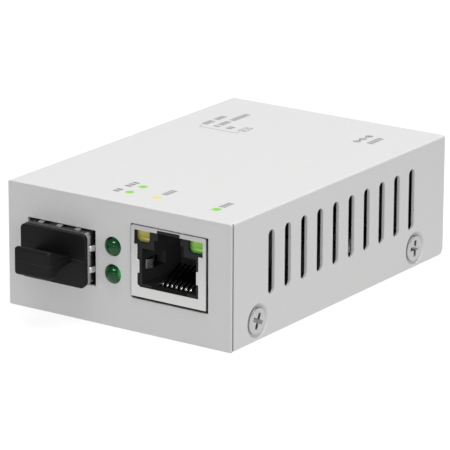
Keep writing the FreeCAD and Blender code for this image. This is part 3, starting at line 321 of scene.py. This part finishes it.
def powder_coat():
    """Pale grey paint: a soft orange peel, a faint mottle, and painted shade along the sides where
    the front panel meets them.
    """
    tone = (0.705, 0.705, 0.702)
    finish = Finish("powder_coat", tone, Specular_IOR_Level=0.35)
    finish.colour(finish.noise(2.2 * MM, detail=4.0), shade(tone, 0.985), shade(tone, 1.015))
    # Painted shade: the outer sides go nearly black in a narrow band at the front panel's seam,
    # standing in for the shadow in its gap.
    painted_joint_shade = finish.seam("Y", JOINT_Y, 0.3 * MM)
    for side in (1, -1):
        outside = finish.along((side, 0, 0), COVER_HIGH.x - 0.3 * MM, COVER_HIGH.x - 0.1 * MM)
        finish.tint(finish.both(painted_joint_shade, outside), shade(tone, 0.2))
    finish.gloss(finish.noise(0.9 * MM), 0.46, 0.58)
    finish.relief(finish.noise(0.55 * MM, detail=1.0), 0.006 * MM)
    finish.relief(finish.noise(0.14 * MM, detail=3.0), 0.0016 * MM)
    return finish.material


def moulding(name, tone, rough, grain, specular=0.3):
    """Moulded plastic with a spark-eroded texture."""
    finish = Finish(name, tone, Specular_IOR_Level=specular)
    finish.colour(finish.noise(3.0 * MM, detail=5.0), shade(tone, 0.85), shade(tone, 1.2))
    finish.gloss(finish.noise(0.5 * MM, detail=3.0), rough - 0.06, rough + 0.06)
    finish.relief(finish.noise(grain, detail=3.0), grain * 0.03)
    return finish.material


def jack_moulding(node):
    """Black plastic, painted paler deeper inside the port as light that falls into it."""
    tone = (0.020, 0.020, 0.0205)
    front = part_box(node)[0].y
    finish = Finish("jack_housing", tone, Specular_IOR_Level=0.16)
    finish.colour(finish.noise(3.0 * MM, detail=5.0), shade(tone, 0.85), shade(tone, 1.15))
    # Painted light: the plastic is made paler from just inside the port's mouth to 6 mm in.
    finish.tint(finish.height("Y", front + 0.6 * MM, front + 6.0 * MM), shade(tone, 3.2))
    finish.gloss(finish.noise(0.5 * MM, detail=3.0), 0.38, 0.5)
    finish.relief(finish.noise(0.3 * MM, detail=3.0), 0.009 * MM)
    return finish.material


def contact_plating(node):
    """Gold-flashed wire, painted dark behind where the springs bend as the shade deeper in the
    port.
    """
    tone = (0.97, 0.94, 0.86)
    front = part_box(node)[0].y
    finish = Finish("contact_plating", tone, Metallic=1.0)
    finish.colour(finish.noise(0.7 * MM, detail=4.0), shade(tone, 0.96), tone)
    # Painted shade: behind the bends the wire goes nearly black.
    finish.tint(finish.height("Y", front + 1.0 * MM, front + 1.9 * MM), shade(tone, 0.07))
    finish.gloss(finish.noise(0.3 * MM, detail=3.0), 0.16, 0.3)
    finish.relief(finish.noise(0.25 * MM, detail=3.0), 0.003 * MM)
    return finish.material


def plug_moulding(node):
    """Soft black plastic with the raised line where its mould's halves met, painted paler along it
    as a highlight.
    """
    tone = (0.006, 0.006, 0.0062)
    low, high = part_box(node)
    finish = Finish("plug_moulding", tone, Specular_IOR_Level=0.19)
    # The parting line is a real raised ridge in the relief, and its paler colour is a painted
    # highlight.
    parting_ridge_highlight = finish.seam("Z", (low.z + high.z) / 2, 0.11 * MM)
    finish.colour(parting_ridge_highlight, tone, shade(tone, 2.2))
    finish.gloss(finish.noise(0.5 * MM, detail=3.0), 0.44, 0.56)
    finish.relief(finish.noise(0.16 * MM, detail=3.0), 0.005 * MM)
    finish.relief(parting_ridge_highlight, 0.06 * MM)
    return finish.material


def plated_sheet(name, tone, rough, stretch, turn=(0, 0, 0), bright=None):
    """Plated sheet with fine rolling lines, painted dark as shade behind the depth bright if it is
    given.
    """
    finish = Finish(name, tone, Metallic=1.0)
    lines = finish.noise(0.12 * MM, stretch=stretch, turn=turn, detail=3.0)
    if bright is None:
        finish.colour(finish.noise(2.5 * MM, detail=3.0), shade(tone, 0.95), shade(tone, 1.04))
    else:
        # Painted shade: behind the depth bright the sheet goes nearly black, as if in the case's
        # shade.
        finish.colour(finish.height("Y", bright, bright + 0.8 * MM), tone, shade(tone, 0.08))
    finish.gloss(lines, rough - 0.05, rough + 0.09)
    finish.relief(lines, 0.004 * MM)
    return finish.material


def spring_strip():
    """Plated spring strip, with painted shade on the flats along its top."""
    tone = (0.56, 0.56, 0.56)
    finish = Finish("spring_strip", tone, Metallic=1.0)
    lines = finish.noise(0.12 * MM, stretch=(1, 20, 1), detail=3.0)
    finish.colour(lines, shade(tone, 0.95), shade(tone, 1.05))
    # Painted shade: faces that look straight up are made dark, as the flange above shades them.
    finish.tint(finish.facing((0, 0, 1), 0.985, 0.998), shade(tone, 0.14))
    finish.gloss(lines, 0.22, 0.34)
    finish.relief(lines, 0.003 * MM)
    return finish.material


def zinc(name, tone, rough):
    """Zinc-plated steel with the faint mottle of its passivation."""
    finish = Finish(name, tone, Metallic=1.0)
    finish.colour(finish.noise(0.7 * MM, detail=4.0), shade(tone, 0.93), shade(tone, 1.05))
    finish.gloss(finish.noise(0.3 * MM, detail=3.0), rough - 0.05, rough + 0.08)
    finish.relief(finish.noise(0.25 * MM, detail=3.0), 0.003 * MM)
    return finish.material


def clear_lamp(name, node, tone, rough, painted_right_rim_tone):
    """Deeply tinted epoxy, with painted shade at the upper left of its rim and painted light where
    the rim gathers light.
    """
    low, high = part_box(node)
    middle = (low + high) / 2
    finish = Finish(name, tone, Transmission_Weight=0.3, IOR=1.5, Specular_IOR_Level=0.32)
    finish.colour(finish.noise(2.4 * MM), shade(tone, 0.9), shade(tone, 1.1))
    # Painted light and shade round the rim: near black at the upper left, pale green below and at
    # the left, and the given tone at the right.
    for direction, start, end, rim in (
            ((-0.62, 0, 0.78), 1.15, 1.3, (0.003, 0.0025, 0.001)),
            ((-0.35, 0, -0.94), 1.4, 1.7, (0.22, 0.62, 0.20)),
            ((-1.0, 0, 0.0), 1.25, 1.6, (0.28, 0.60, 0.28)),
            ((0.97, 0, 0.24), 1.35, 1.65, painted_right_rim_tone)):
        offset = middle.dot(Vector(direction))
        finish.tint(finish.along(direction, offset + start * MM, offset + end * MM), rim)
    finish.gloss(finish.noise(0.8 * MM), rough, rough + 0.03)
    finish.relief(finish.noise(2.4 * MM), 0.002 * MM)
    return finish.material


def lens(name, low_tone, high_tone, node):
    """A tinted light guide, painted paler towards its top as light, with a painted highlight
    streak low on it and painted shade along its left edge.
    """
    low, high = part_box(node)
    finish = Finish(name, high_tone, Roughness=0.14, Specular_IOR_Level=0.4)
    # Painted light: the colour runs from the low tone at the bottom to the high tone at the top.
    finish.colour(finish.height("Z", low.z, high.z), low_tone, high_tone)
    # Painted highlight: a paler streak a third of the way up, growing towards the right.
    streak = finish.seam("Z", low.z + 0.3 * (high.z - low.z), 0.32 * MM)
    finish.tint(finish.both(streak, finish.along((1, 0, 0), low.x, high.x)), shade(high_tone, 1.4))
    # Painted shade: the left edge goes dark, where the lens sits back in its pocket.
    finish.tint(finish.along((-1, 0, 0), -low.x - 0.9 * MM, -low.x), shade(low_tone, 0.5))
    finish.relief(finish.noise(0.8 * MM, stretch=(5, 1, 1), detail=1.0), 0.12 * MM)
    return finish.material


def board_lacquer():
    """Green solder resist with the copper under it showing as paler tracks."""
    finish = Finish("board_lacquer", (0.01, 0.09, 0.035), Coat_Weight=0.5, Coat_Roughness=0.12)
    tracks = finish.noise(1.4 * MM, stretch=(1, 4, 1), detail=0.0)
    finish.colour(tracks, (0.003, 0.03, 0.011), (0.01, 0.07, 0.025))
    finish.gloss(finish.noise(0.6 * MM), 0.28, 0.4)
    finish.relief(tracks, 0.02 * MM)
    return finish.material


def ink(name, tone):
    """Screen-printed ink: flat, with a slightly uneven tone."""
    finish = Finish(name, tone, Specular_IOR_Level=0.3)
    finish.colour(finish.noise(0.35 * MM, detail=3.0), shade(tone, 0.95), shade(tone, 1.05))
    finish.gloss(finish.noise(0.3 * MM), 0.42, 0.55)
    finish.relief(finish.noise(0.12 * MM), 0.001 * MM)
    return finish.material


PAINT = powder_coat()
PLUG_BLACK = plug_moulding("dust_plug")
JACK_BLACK = moulding("jack_moulding", (0.020, 0.020, 0.0205), 0.45, 0.3 * MM, 0.16)
PORT_BLACK = jack_moulding("rj45_housing")
CHIP_BLACK = moulding("chip_epoxy", (0.018, 0.018, 0.018), 0.5, 0.12 * MM)
SWITCH_RED = moulding("switch_moulding", (0.36, 0.018, 0.014), 0.4, 0.25 * MM)
SLIDER_WHITE = moulding("slider_moulding", (0.74, 0.74, 0.70), 0.4, 0.25 * MM)
# The shield is painted dark as shade from 4.5 mm behind its front.
SHIELD = plated_sheet("shield_plate", (0.61, 0.61, 0.605), 0.27, (30, 1, 1), (0, 0.35, 0),
                      bright=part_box("rj45_shield")[0].y + 4.5 * MM)
CAGE = plated_sheet("cage_plate", (0.46, 0.46, 0.465), 0.30, (1, 30, 1))
SPRING = spring_strip()
SCREW = zinc("screw_zinc", (0.51, 0.51, 0.515), 0.3)
CAN = zinc("drawn_can", (0.6, 0.6, 0.61), 0.22)
CONTACT = contact_plating("rj45_contacts")
STATUS_TONE = (0.002, 0.085, 0.018)
YELLOW_LENS = lens("yellow_lens", (0.15, 0.15, 0.040), (0.66, 0.58, 0.12), "rj45_lamp_left")
GREEN_LENS = lens("green_lens", (0.075, 0.27, 0.055), (0.38, 0.82, 0.09), "rj45_lamp_right")
BOARD = board_lacquer()
LEGEND_GREY = ink("legend_grey", (0.30, 0.30, 0.30))
LEGEND_GREEN = ink("legend_green", (0.29, 0.68, 0.11))
LEGEND_YELLOW = ink("legend_yellow", (0.83, 0.72, 0.26))
LEGEND_WHITE = ink("legend_white", (0.75, 0.75, 0.73))


# Case and screws

def case():
    """The folded cover and tray, with the windows of its front panel fitted to the photo."""
    dress("top_cover", PAINT, 0.06 * MM)
    low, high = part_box("sfp_spring_collar")
    gap = 0.03 * MM
    window = [(x, z) for x in (low.x - gap, high.x + gap) for z in (low.z - gap, high.z + gap)]
    dress("base_tray", PAINT, 0.06 * MM, corners=window, nudges=JACK_WINDOW_MOVES)


SCREW_HEAD, SCREW_LENGTH, SCREW_RIM = 0.6 * MM, 3.9 * MM, 0.22 * MM
SCREW_TURNS = (-0.42, -0.08, 0.6, -0.1)
THREAD_RADIUS, THREAD_DEPTH, THREAD_RIDGES = 1.4 * MM, 0.2 * MM, 6
TIP_BEVEL = 0.3 * MM
CROSS_SPAN, CROSS_ARM, CROSS_DEPTH = 3.2 * MM, 0.78 * MM, 1.1 * MM
CROSS_TAPER = 0.42          # the cross at its floor, as a share of its span at the top


def cross_cutter(matrix):
    """A tapered cross, the shape of a driver's tip, pointing down the local X axis."""
    mesh = bmesh.new()
    rings = []
    for along, scale in ((0.05 * MM, 1.0), (-CROSS_DEPTH, CROSS_TAPER)):
        half = CROSS_SPAN / 2 * scale
        wing = CROSS_ARM / 2 * (0.55 + 0.45 * scale)
        outline = []
        for turn in range(4):
            quarter = Matrix.Rotation(-turn * math.pi / 2, 3, "X")
            for across, out in ((-wing, wing), (-wing, half), (wing, half)):
                outline.append(matrix @ (quarter @ Vector((along, across, out))))
        rings.append([mesh.verts.new(point) for point in outline])
    count = len(rings[0])
    mesh.faces.new(rings[0])
    mesh.faces.new(list(reversed(rings[1])))
    for number in range(count):
        following = (number + 1) % count
        mesh.faces.new((rings[0][following], rings[0][number], rings[1][number],
                        rings[1][following]))
    bmesh.ops.recalc_face_normals(mesh, faces=mesh.faces)
    return mesh


def subtract(body, cutter):
    """The first mesh less the second, as a new one. Both are freed."""
    objects = []
    for mesh in (body, cutter):
        data = bpy.data.meshes.new("scratch")
        mesh.to_mesh(data)
        mesh.free()
        item = bpy.data.objects.new("scratch", data)
        bpy.context.scene.collection.objects.link(item)
        objects.append(item)
    boolean = objects[0].modifiers.new("cut", "BOOLEAN")
    boolean.operation = "DIFFERENCE"
    boolean.solver = "EXACT"
    boolean.object = objects[1]
    evaluated = objects[0].evaluated_get(bpy.context.evaluated_depsgraph_get())
    result = bmesh.new()
    result.from_mesh(evaluated.to_mesh())
    evaluated.to_mesh_clear()
    for item in objects:
        bpy.data.objects.remove(item)
    return result


def screw_mesh(matrix, radius, turn):
    """A flat-headed screw with a rounded rim and a cross recess, its axis along local X."""
    mesh = bmesh.new()
    profile = [(0, 0), (0, radius - SCREW_RIM)]
    for step in range(1, 5):
        angle = step / 4 * math.pi / 2
        profile.append((-SCREW_RIM + SCREW_RIM * math.cos(angle),
                        radius - SCREW_RIM + SCREW_RIM * math.sin(angle)))
    profile += [(-SCREW_HEAD, radius), (-SCREW_HEAD, THREAD_RADIUS)]
    shank = SCREW_LENGTH - SCREW_HEAD
    for ridge in range(THREAD_RIDGES):
        start = -SCREW_HEAD - shank * (ridge + 0.2) / THREAD_RIDGES
        step = shank / THREAD_RIDGES
        profile += [(start, THREAD_RADIUS), (start - step * 0.3, THREAD_RADIUS - THREAD_DEPTH),
                    (start - step * 0.6, THREAD_RADIUS)]
    profile += [(-SCREW_LENGTH, THREAD_RADIUS - TIP_BEVEL), (-SCREW_LENGTH, 0)]
    lathe(mesh, profile, 48, matrix)
    return subtract(mesh, cross_cutter(matrix @ Matrix.Rotation(turn, 4, "X")))


def cover_screws():
    """The four screws in the sides, each turned its own way, in one piece."""
    low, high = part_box("cover_screws")
    radius = (high.z - low.z) / 2
    height = (high.z + low.z) / 2
    places = [(side, y) for side in (1, -1) for y in (low.y + radius, high.y - radius)]
    whole = bmesh.new()
    for (side, y), turn in zip(places, SCREW_TURNS):
        matrix = Matrix.Translation((high.x * side, y, height))
        if side < 0:
            matrix = matrix @ Matrix.Rotation(math.pi, 4, "Z")
        one = screw_mesh(matrix, radius, turn)
        data = bpy.data.meshes.new("one_screw")
        one.to_mesh(data)
        one.free()
        whole.from_mesh(data)
        bpy.data.meshes.remove(data)
    piece = new_piece("cover_screws_finish", whole, "case", SCREW)
    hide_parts("cover_screws")


# Print on the cover, in millimetres from its left and front edges

PRINT_THICKNESS = 0.01 * MM
FINE_LINE, BOX_LINE, SIGN_LINE = 0.16, 0.2, 0.32
WORD_HEIGHT = 1.35
LETTER_SHARE = 0.68         # how much of its pitch along a word a letter's block fills
CIRCLE_STEPS, RING_STEPS, FEWEST_STEPS = 48, 24, 6

# Each word's x, where it starts and ends going back, and its number of letters.
WORDS = ((20.1, 5.2, 7.4, 2), (20.1, 8.9, 12.4, 3), (28.7, 8.4, 11.9, 4), (41.5, 7.9, 11.2, 4),
         (6.9, 52.1, 55.3, 4), (6.9, 56.2, 59.3, 4), (9.8, 51.9, 52.9, 1), (9.8, 53.4, 56.6, 4),
         (9.8, 57.4, 63.1, 8), (12.6, 51.9, 53.9, 2), (40.3, 58.6, 63.2, 5))


def on_cover(x, y):
    """A place on top of the cover, in millimetres from its left and front edges."""
    return COVER_LOW.x + x * MM, COVER_LOW.y + y * MM


def bar(x, y, width, length):
    """Corners of a printed bar centred at (x, y) on the cover."""
    left, front = on_cover(x - width / 2, y - length / 2)
    right, back = on_cover(x + width / 2, y + length / 2)
    return [(left, front), (right, front), (right, back), (left, back)]


def disc(x, y, width):
    """Corners of a printed round spot."""
    middle_x, middle_y = on_cover(x, y)
    radius = width / 2 * MM
    return [(middle_x + radius * math.cos(turn), middle_y + radius * math.sin(turn))
            for turn in turns(CIRCLE_STEPS)]


def band(x, y, radius, thick, start=0.0, sweep=2 * math.pi):
    """A ring or part of one as short printed bars, side by side."""
    steps = max(FEWEST_STEPS, round(RING_STEPS * sweep / (2 * math.pi)))
    pieces = []
    for step in range(steps):
        corners = []
        for turn, out in ((step, -0.5), (step, 0.5), (step + 1, 0.5), (step + 1, -0.5)):
            angle = start + sweep * turn / steps
            reach = radius + thick * out
            corners.append(on_cover(x + reach * math.cos(angle), y + reach * math.sin(angle)))
        pieces.append(corners)
    return pieces


def frame_box(x, y, width, length, thick):
    """The four sides of a printed box."""
    return [bar(x - width / 2, y, thick, length), bar(x + width / 2, y, thick, length),
            bar(x, y - length / 2, width + thick, thick),
            bar(x, y + length / 2, width + thick, thick)]


def polarity_sign(x, y, line):
    """The usual sign of a power jack: minus outside, plus at the pin."""
    near, centre, far = y - 2.15, y - 0.1, y + 2.15
    sign = band(x, near, 0.6, line) + band(x, far, 0.6, line)
    sign += [bar(x, near, line, 0.62), bar(x, far, line, 0.62), bar(x, far, 0.62, line)]
    sign += band(x, centre, 0.62, line, math.pi * 0.7, math.pi * 1.6)
    sign += [bar(x, (near + centre) / 2, line, centre - near - 1.22),
             bar(x, (centre + far) / 2 - 0.25, line, far - centre - 1.1), disc(x, centre, 0.5)]
    return sign


def word(x, start, end, letters):
    """A word as a row of blank blocks, one for each letter, running back along the cover."""
    pitch = (end - start) / letters
    return [bar(x, start + pitch * (number + 0.5), WORD_HEIGHT, pitch * LETTER_SHARE)
            for number in range(letters)]


def print_field(name, outlines, finish):
    """Printed outlines in one ink, as one thin piece half sunk in the paint."""
    mesh = bmesh.new()
    for outline in outlines:
        prism(mesh, outline, COVER_HIGH.z - PRINT_THICKNESS, COVER_HIGH.z + PRINT_THICKNESS)
    return new_piece(name, mesh, "case", finish)


def cover_print():
    """The marks on top of the cover, with blank blocks for the words."""
    blocks = [block for place in WORDS for block in word(*place)]
    bracket = [bar(11.4, 50.4, 8.6, FINE_LINE), bar(7.1, 50.9, FINE_LINE, 1.0),
               bar(15.7, 50.9, FINE_LINE, 1.0)]
    switch_sign = frame_box(15.7, 53.5, 1.5, 2.8, BOX_LINE) + [
        bar(15.7, 52.9, 0.8, 0.5), bar(15.7, 54.1, 0.8, 0.5)]
    print_field("legend_words", blocks + bracket + switch_sign, LEGEND_GREY)
    print_field("legend_polarity", polarity_sign(37.6, 60.85, SIGN_LINE), LEGEND_GREY)
    print_field("legend_green_marks",
                [disc(22.6, 10.5, 1.7), disc(22.6, 6.4, 1.7), bar(41.5, 6.4, 1.6, 1.6)],
                LEGEND_GREEN)
    print_field("legend_yellow_mark", [bar(28.7, 6.3, 1.6, 1.6)], LEGEND_YELLOW)


# Fittings

MARK_SIZE, MARK_THICKNESS = 0.85 * MM, 0.012 * MM
WAY_MARK_Z, ON_MARK_Z = 9.7 * MM, 14.1 * MM


def status_lamp(node, painted_right_rim_tone):
    """A domed lamp that fills its hole in the panel, with its rim behind the sheet."""
    low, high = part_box(node)
    middle = (low + high) / 2
    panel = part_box("base_tray")[0].y
    proud = panel - low.y
    hole, rim_radius, body = 1.79 * MM, (high.z - low.z) / 2, 1.65 * MM
    sheet, rim_length = 0.62 * MM, 0.85 * MM
    curve = (hole ** 2 + proud ** 2) / (2 * proud)
    profile = [(proud, 0)]
    for step in range(1, 17):
        radius = hole * step / 16
        profile.append((math.sqrt(curve ** 2 - radius ** 2) - curve + proud, radius))
    profile += [(-sheet, hole), (-sheet, rim_radius), (-sheet - rim_length, rim_radius),
                (-sheet - rim_length, body), (panel - high.y, body), (panel - high.y, 0)]
    mesh = bmesh.new()
    matrix = (Matrix.Translation((middle.x, panel, middle.z))
              @ Matrix.Rotation(-math.pi / 2, 4, "Z"))
    lathe(mesh, profile, 64, matrix)
    finish = clear_lamp(f"{node}_epoxy", node, STATUS_TONE, 0.02, painted_right_rim_tone)
    piece = new_piece(f"{node}_finish", mesh, "case", finish)
    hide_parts(node)


def switch_legend():
    """The usual marks of a two-way switch, read from behind: its ways and which way is on."""
    whole = bmesh.new()
    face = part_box("dip_switch_body")[1].y
    first, second = (sum(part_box(node), Vector()).x / 2
                     for node in ("dip_slider_right", "dip_slider_left"))
    for text, x, z in (("1", first, WAY_MARK_Z), ("2", second, WAY_MARK_Z),
                       ("ON", (first + second) / 2, ON_MARK_Z)):
        curve = bpy.data.curves.new("mark", "FONT")
        curve.body = text
        curve.size = MARK_SIZE
        curve.extrude = MARK_THICKNESS
        curve.align_x, curve.align_y = "CENTER", "CENTER"
        item = bpy.data.objects.new("mark", curve)
        data = bpy.data.meshes.new_from_object(item)
        data.transform(Matrix(((-1, 0, 0, x), (0, 0, 1, face), (0, 1, 0, z), (0, 0, 0, 1))))
        whole.from_mesh(data)
        bpy.data.objects.remove(item)
        bpy.data.curves.remove(curve)
        bpy.data.meshes.remove(data)
    new_piece("switch_legend", whole, "case", LEGEND_WHITE)


def fittings():
    """What shows in the front and rear panels, and what holds or joins it inside."""
    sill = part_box("dust_plug")[0].z / MM
    dress("dust_plug", PLUG_BLACK, 0.12 * MM, nudges=[
        ((-PLUG_SIDES, PLUG_FRONT, sill - 1), (PLUG_SIDES, PLUG_BACK, sill + 1.2), PLUG_DROP),
        ((-PLUG_SIDES, PLUG_FRONT, 0), (PLUG_SIDES, PLUG_BACK, PLUG_TOP), PLUG_DROP)])
    dress("rj45_shield", SHIELD, 0.04 * MM, steps=1, corners=[SHIELD_CORNER],
          nudges=SHIELD_MOVES)
    dress("rj45_housing", PORT_BLACK, 0.08 * MM)
    dress("sfp_cage", CAGE, 0.04 * MM, steps=1)
    dress("sfp_spring_collar", SPRING, 0.03 * MM, steps=1)
    dress("rj45_contacts", CONTACT, 0.05 * MM)
    dress("dc_jack_body", JACK_BLACK, 0.15 * MM)
    dress("dip_switch_body", SWITCH_RED, 0.12 * MM)
    coat(YELLOW_LENS, "rj45_lamp_left")
    coat(GREEN_LENS, "rj45_lamp_right")
    switch_legend()
    # The upper lamp's right rim is painted darker as shade, the lower lamp's bright green as
    # painted light.
    status_lamp("status_lamp_upper", shade(STATUS_TONE, 0.5))
    status_lamp("status_lamp_lower", (0.01, 0.50, 0.07))
    coat(JACK_BLACK, "rj45_comb", "lamp_holder", "sfp_host_connector")
    coat(SCREW, "lamp_leads", "dc_jack_pin", "dc_jack_terminals", "dip_switch_pins")
    coat(SLIDER_WHITE, "dip_slider_left", "dip_slider_right")


def inside():
    """The board, its posts and screws and the parts on it, seen faintly through the slots."""
    coat(BOARD, "circuit_board")
    coat(SCREW, "board_screws", "board_post_front", "board_post_left", "board_post_right",
         "board_post_back")
    coat(CHIP_BLACK, "controller_chip", "line_transformer", "power_inductor", "memory_chip",
         "regulator")
    coat(CAN, "crystal", "electrolytic_capacitors")


# Studio

SKY = 0.42
CEILING_START, CEILING_END, CEILING_LIGHT = -0.02, 0.25, 0.15
FLOOR_SIZE, FLOOR_DROP = 6.0, 0.02 * MM
FLOOR_BOUNCE, FLOOR_LIGHT = 0.12, 0.52
FLOOR_SHADOW = 0.16
FLOOR_GLOW = 0.88
GLOW_START, GLOW_END, GLOW_FAR = 0.068, 0.14, 0.12

VIEW_AZIMUTH, VIEW_ELEVATION, VIEW_ROLL = (math.radians(turn) for turn in (34.464, 16.869, 0.23))
VIEW_AIM = CASE_MIDDLE + Vector((-0.784, -1.003, -1.263)) * MM
VIEW_DISTANCE = 641.4 * MM
LENS_MM, SENSOR_MM = 274.78, 36.0


def lamp(name, place, size, power, lights=True, shines=True):
    """A lamp aimed at the case that lights surfaces, shines in their gloss, or both."""
    light = bpy.data.lights.new(name, "AREA")
    light.shape = "RECTANGLE"
    light.size, light.size_y = size
    light.energy = power
    item = bpy.data.objects.new(name, light)
    item.location = place
    item.visible_diffuse, item.visible_glossy = lights, shines
    item.rotation_euler = (CASE_MIDDLE - Vector(place)).to_track_quat("-Z", "Y").to_euler()
    bpy.context.scene.collection.objects.link(item)


def seen_directly(tree):
    """1 for rays that show the background itself: the camera's, and those off gloss or glass."""
    path = tree.nodes.new("ShaderNodeLightPath")
    total = path.outputs["Is Camera Ray"]
    for kind in ("Is Glossy Ray", "Is Transmission Ray"):
        total = reckon(tree, "MAXIMUM", total, path.outputs[kind]).outputs["Value"]
    return total


def even_to_camera(tree, even, amount):
    """One value for the camera's rays, and an amount for all others."""
    choice = tree.nodes.new("ShaderNodeMix")
    choice.inputs["B"].default_value = even
    path = tree.nodes.new("ShaderNodeLightPath")
    tree.links.new(path.outputs["Is Camera Ray"], choice.inputs["Factor"])
    tree.links.new(amount, choice.inputs["A"])
    return choice.outputs["Result"]


def brightness_overhead(tree):
    """The strength of the background that is seen: white to the camera, darker above in gloss."""
    place = tree.nodes.new("ShaderNodeTexCoord")
    parts = tree.nodes.new("ShaderNodeSeparateXYZ")
    tree.links.new(place.outputs["Generated"], parts.inputs["Vector"])
    fading = ranged(tree, parts.outputs["Z"], CEILING_START, CEILING_END, 1.0, CEILING_LIGHT)
    return even_to_camera(tree, 1.0, fading)


def world():
    """A soft even sky that shows as plain white, with a darker ceiling."""
    scene_world = bpy.data.worlds.new("studio")
    scene_world.use_nodes = True
    tree = scene_world.node_tree
    light = tree.nodes["Background"]
    light.inputs["Strength"].default_value = SKY
    white = tree.nodes.new("ShaderNodeBackground")
    tree.links.new(brightness_overhead(tree), white.inputs["Strength"])
    for background in (light, white):
        background.inputs["Color"].default_value = (1, 1, 1, 1)
    mix = tree.nodes.new("ShaderNodeMixShader")
    tree.links.new(seen_directly(tree), mix.inputs["Fac"])
    tree.links.new(light.outputs["Background"], mix.inputs[1])
    tree.links.new(white.outputs["Background"], mix.inputs[2])
    tree.links.new(mix.outputs["Shader"], tree.nodes["World Output"].inputs["Surface"])
    bpy.context.scene.world = scene_world


def floor_glow(tree):
    """The glow of the floor that is seen: even to the camera, and fading outwards in gloss."""
    place = tree.nodes.new("ShaderNodeTexCoord")
    reach = tree.nodes.new("ShaderNodeVectorMath")
    reach.operation = "LENGTH"
    tree.links.new(place.outputs["Object"], reach.inputs[0])
    fading = ranged(tree, reach.outputs["Value"], GLOW_START, GLOW_END, FLOOR_GLOW, GLOW_FAR)
    return even_to_camera(tree, FLOOR_GLOW, fading)


def floor():
    """A pale floor that shows as white but keeps the object's shadow, and is clear from below."""
    bpy.ops.mesh.primitive_plane_add(size=FLOOR_SIZE, location=(0, 0, -FLOOR_DROP))
    plane = bpy.context.object
    plane.name = "studio_floor"
    material = bpy.data.materials.new("studio_floor")
    material.use_nodes = True
    tree = material.node_tree
    tree.nodes.remove(tree.nodes["Principled BSDF"])
    bounce = tree.nodes.new("ShaderNodeBsdfDiffuse")
    bounce.inputs["Color"].default_value = (FLOOR_BOUNCE, FLOOR_BOUNCE, FLOOR_BOUNCE, 1)
    spread = tree.nodes.new("ShaderNodeEmission")
    spread.inputs["Strength"].default_value = FLOOR_LIGHT
    lit = tree.nodes.new("ShaderNodeAddShader")
    shadow = tree.nodes.new("ShaderNodeBsdfDiffuse")
    shadow.inputs["Color"].default_value = (FLOOR_SHADOW, FLOOR_SHADOW, FLOOR_SHADOW, 1)
    glow = tree.nodes.new("ShaderNodeEmission")
    tree.links.new(floor_glow(tree), glow.inputs["Strength"])
    shown = tree.nodes.new("ShaderNodeAddShader")
    mix = tree.nodes.new("ShaderNodeMixShader")
    tree.links.new(shadow.outputs["BSDF"], shown.inputs[0])
    tree.links.new(glow.outputs["Emission"], shown.inputs[1])
    tree.links.new(seen_directly(tree), mix.inputs["Fac"])
    tree.links.new(bounce.outputs["BSDF"], lit.inputs[0])
    tree.links.new(spread.outputs["Emission"], lit.inputs[1])
    tree.links.new(lit.outputs["Shader"], mix.inputs[1])
    tree.links.new(shown.outputs["Shader"], mix.inputs[2])
    under = tree.nodes.new("ShaderNodeNewGeometry")
    clear = tree.nodes.new("ShaderNodeBsdfTransparent")
    sided = tree.nodes.new("ShaderNodeMixShader")
    tree.links.new(under.outputs["Backfacing"], sided.inputs["Fac"])
    tree.links.new(mix.outputs["Shader"], sided.inputs[1])
    tree.links.new(clear.outputs["BSDF"], sided.inputs[2])
    tree.links.new(sided.outputs["Shader"], tree.nodes["Material Output"].inputs["Surface"])
    plane.data.materials.append(material)


def camera():
    """A long lens on the front right of the case, looking a little down."""
    towards = Vector((-math.sin(VIEW_AZIMUTH) * math.cos(VIEW_ELEVATION),
                      math.cos(VIEW_AZIMUTH) * math.cos(VIEW_ELEVATION),
                      -math.sin(VIEW_ELEVATION)))
    data = bpy.data.cameras.new("view")
    data.sensor_width = SENSOR_MM
    data.lens = LENS_MM
    item = bpy.data.objects.new("view", data)
    item.location = VIEW_AIM - towards * VIEW_DISTANCE
    turn = towards.to_track_quat("-Z", "Y") @ Quaternion((0, 0, 1), VIEW_ROLL)
    item.rotation_euler = turn.to_euler()
    bpy.context.scene.collection.objects.link(item)
    bpy.context.scene.camera = item


def studio():
    """Soft light, a white background and the view of the photo."""
    world()
    floor()
    camera()
    lamp("overhead", (0.1, 0.0, 1.1), (0.8, 0.8), 10.4)
    lamp("front", (0.38, -0.93, 0.05), (0.4, 0.4), 1.85, shines=False)
    lamp("streak", (0.024, -0.81, 0.57), (0.42, 0.15), 2.9, lights=False)
    lamp("right", (0.95, -0.3, 0.3), (0.4, 0.4), 1.6)
    lamp("spark", (0.139, -1.025, 0.025), (0.06, 0.06), 0.35, lights=False)
    bpy.context.scene.view_settings.view_transform = "Standard"


case()
cover_screws()
cover_print()
fittings()
inside()
studio()
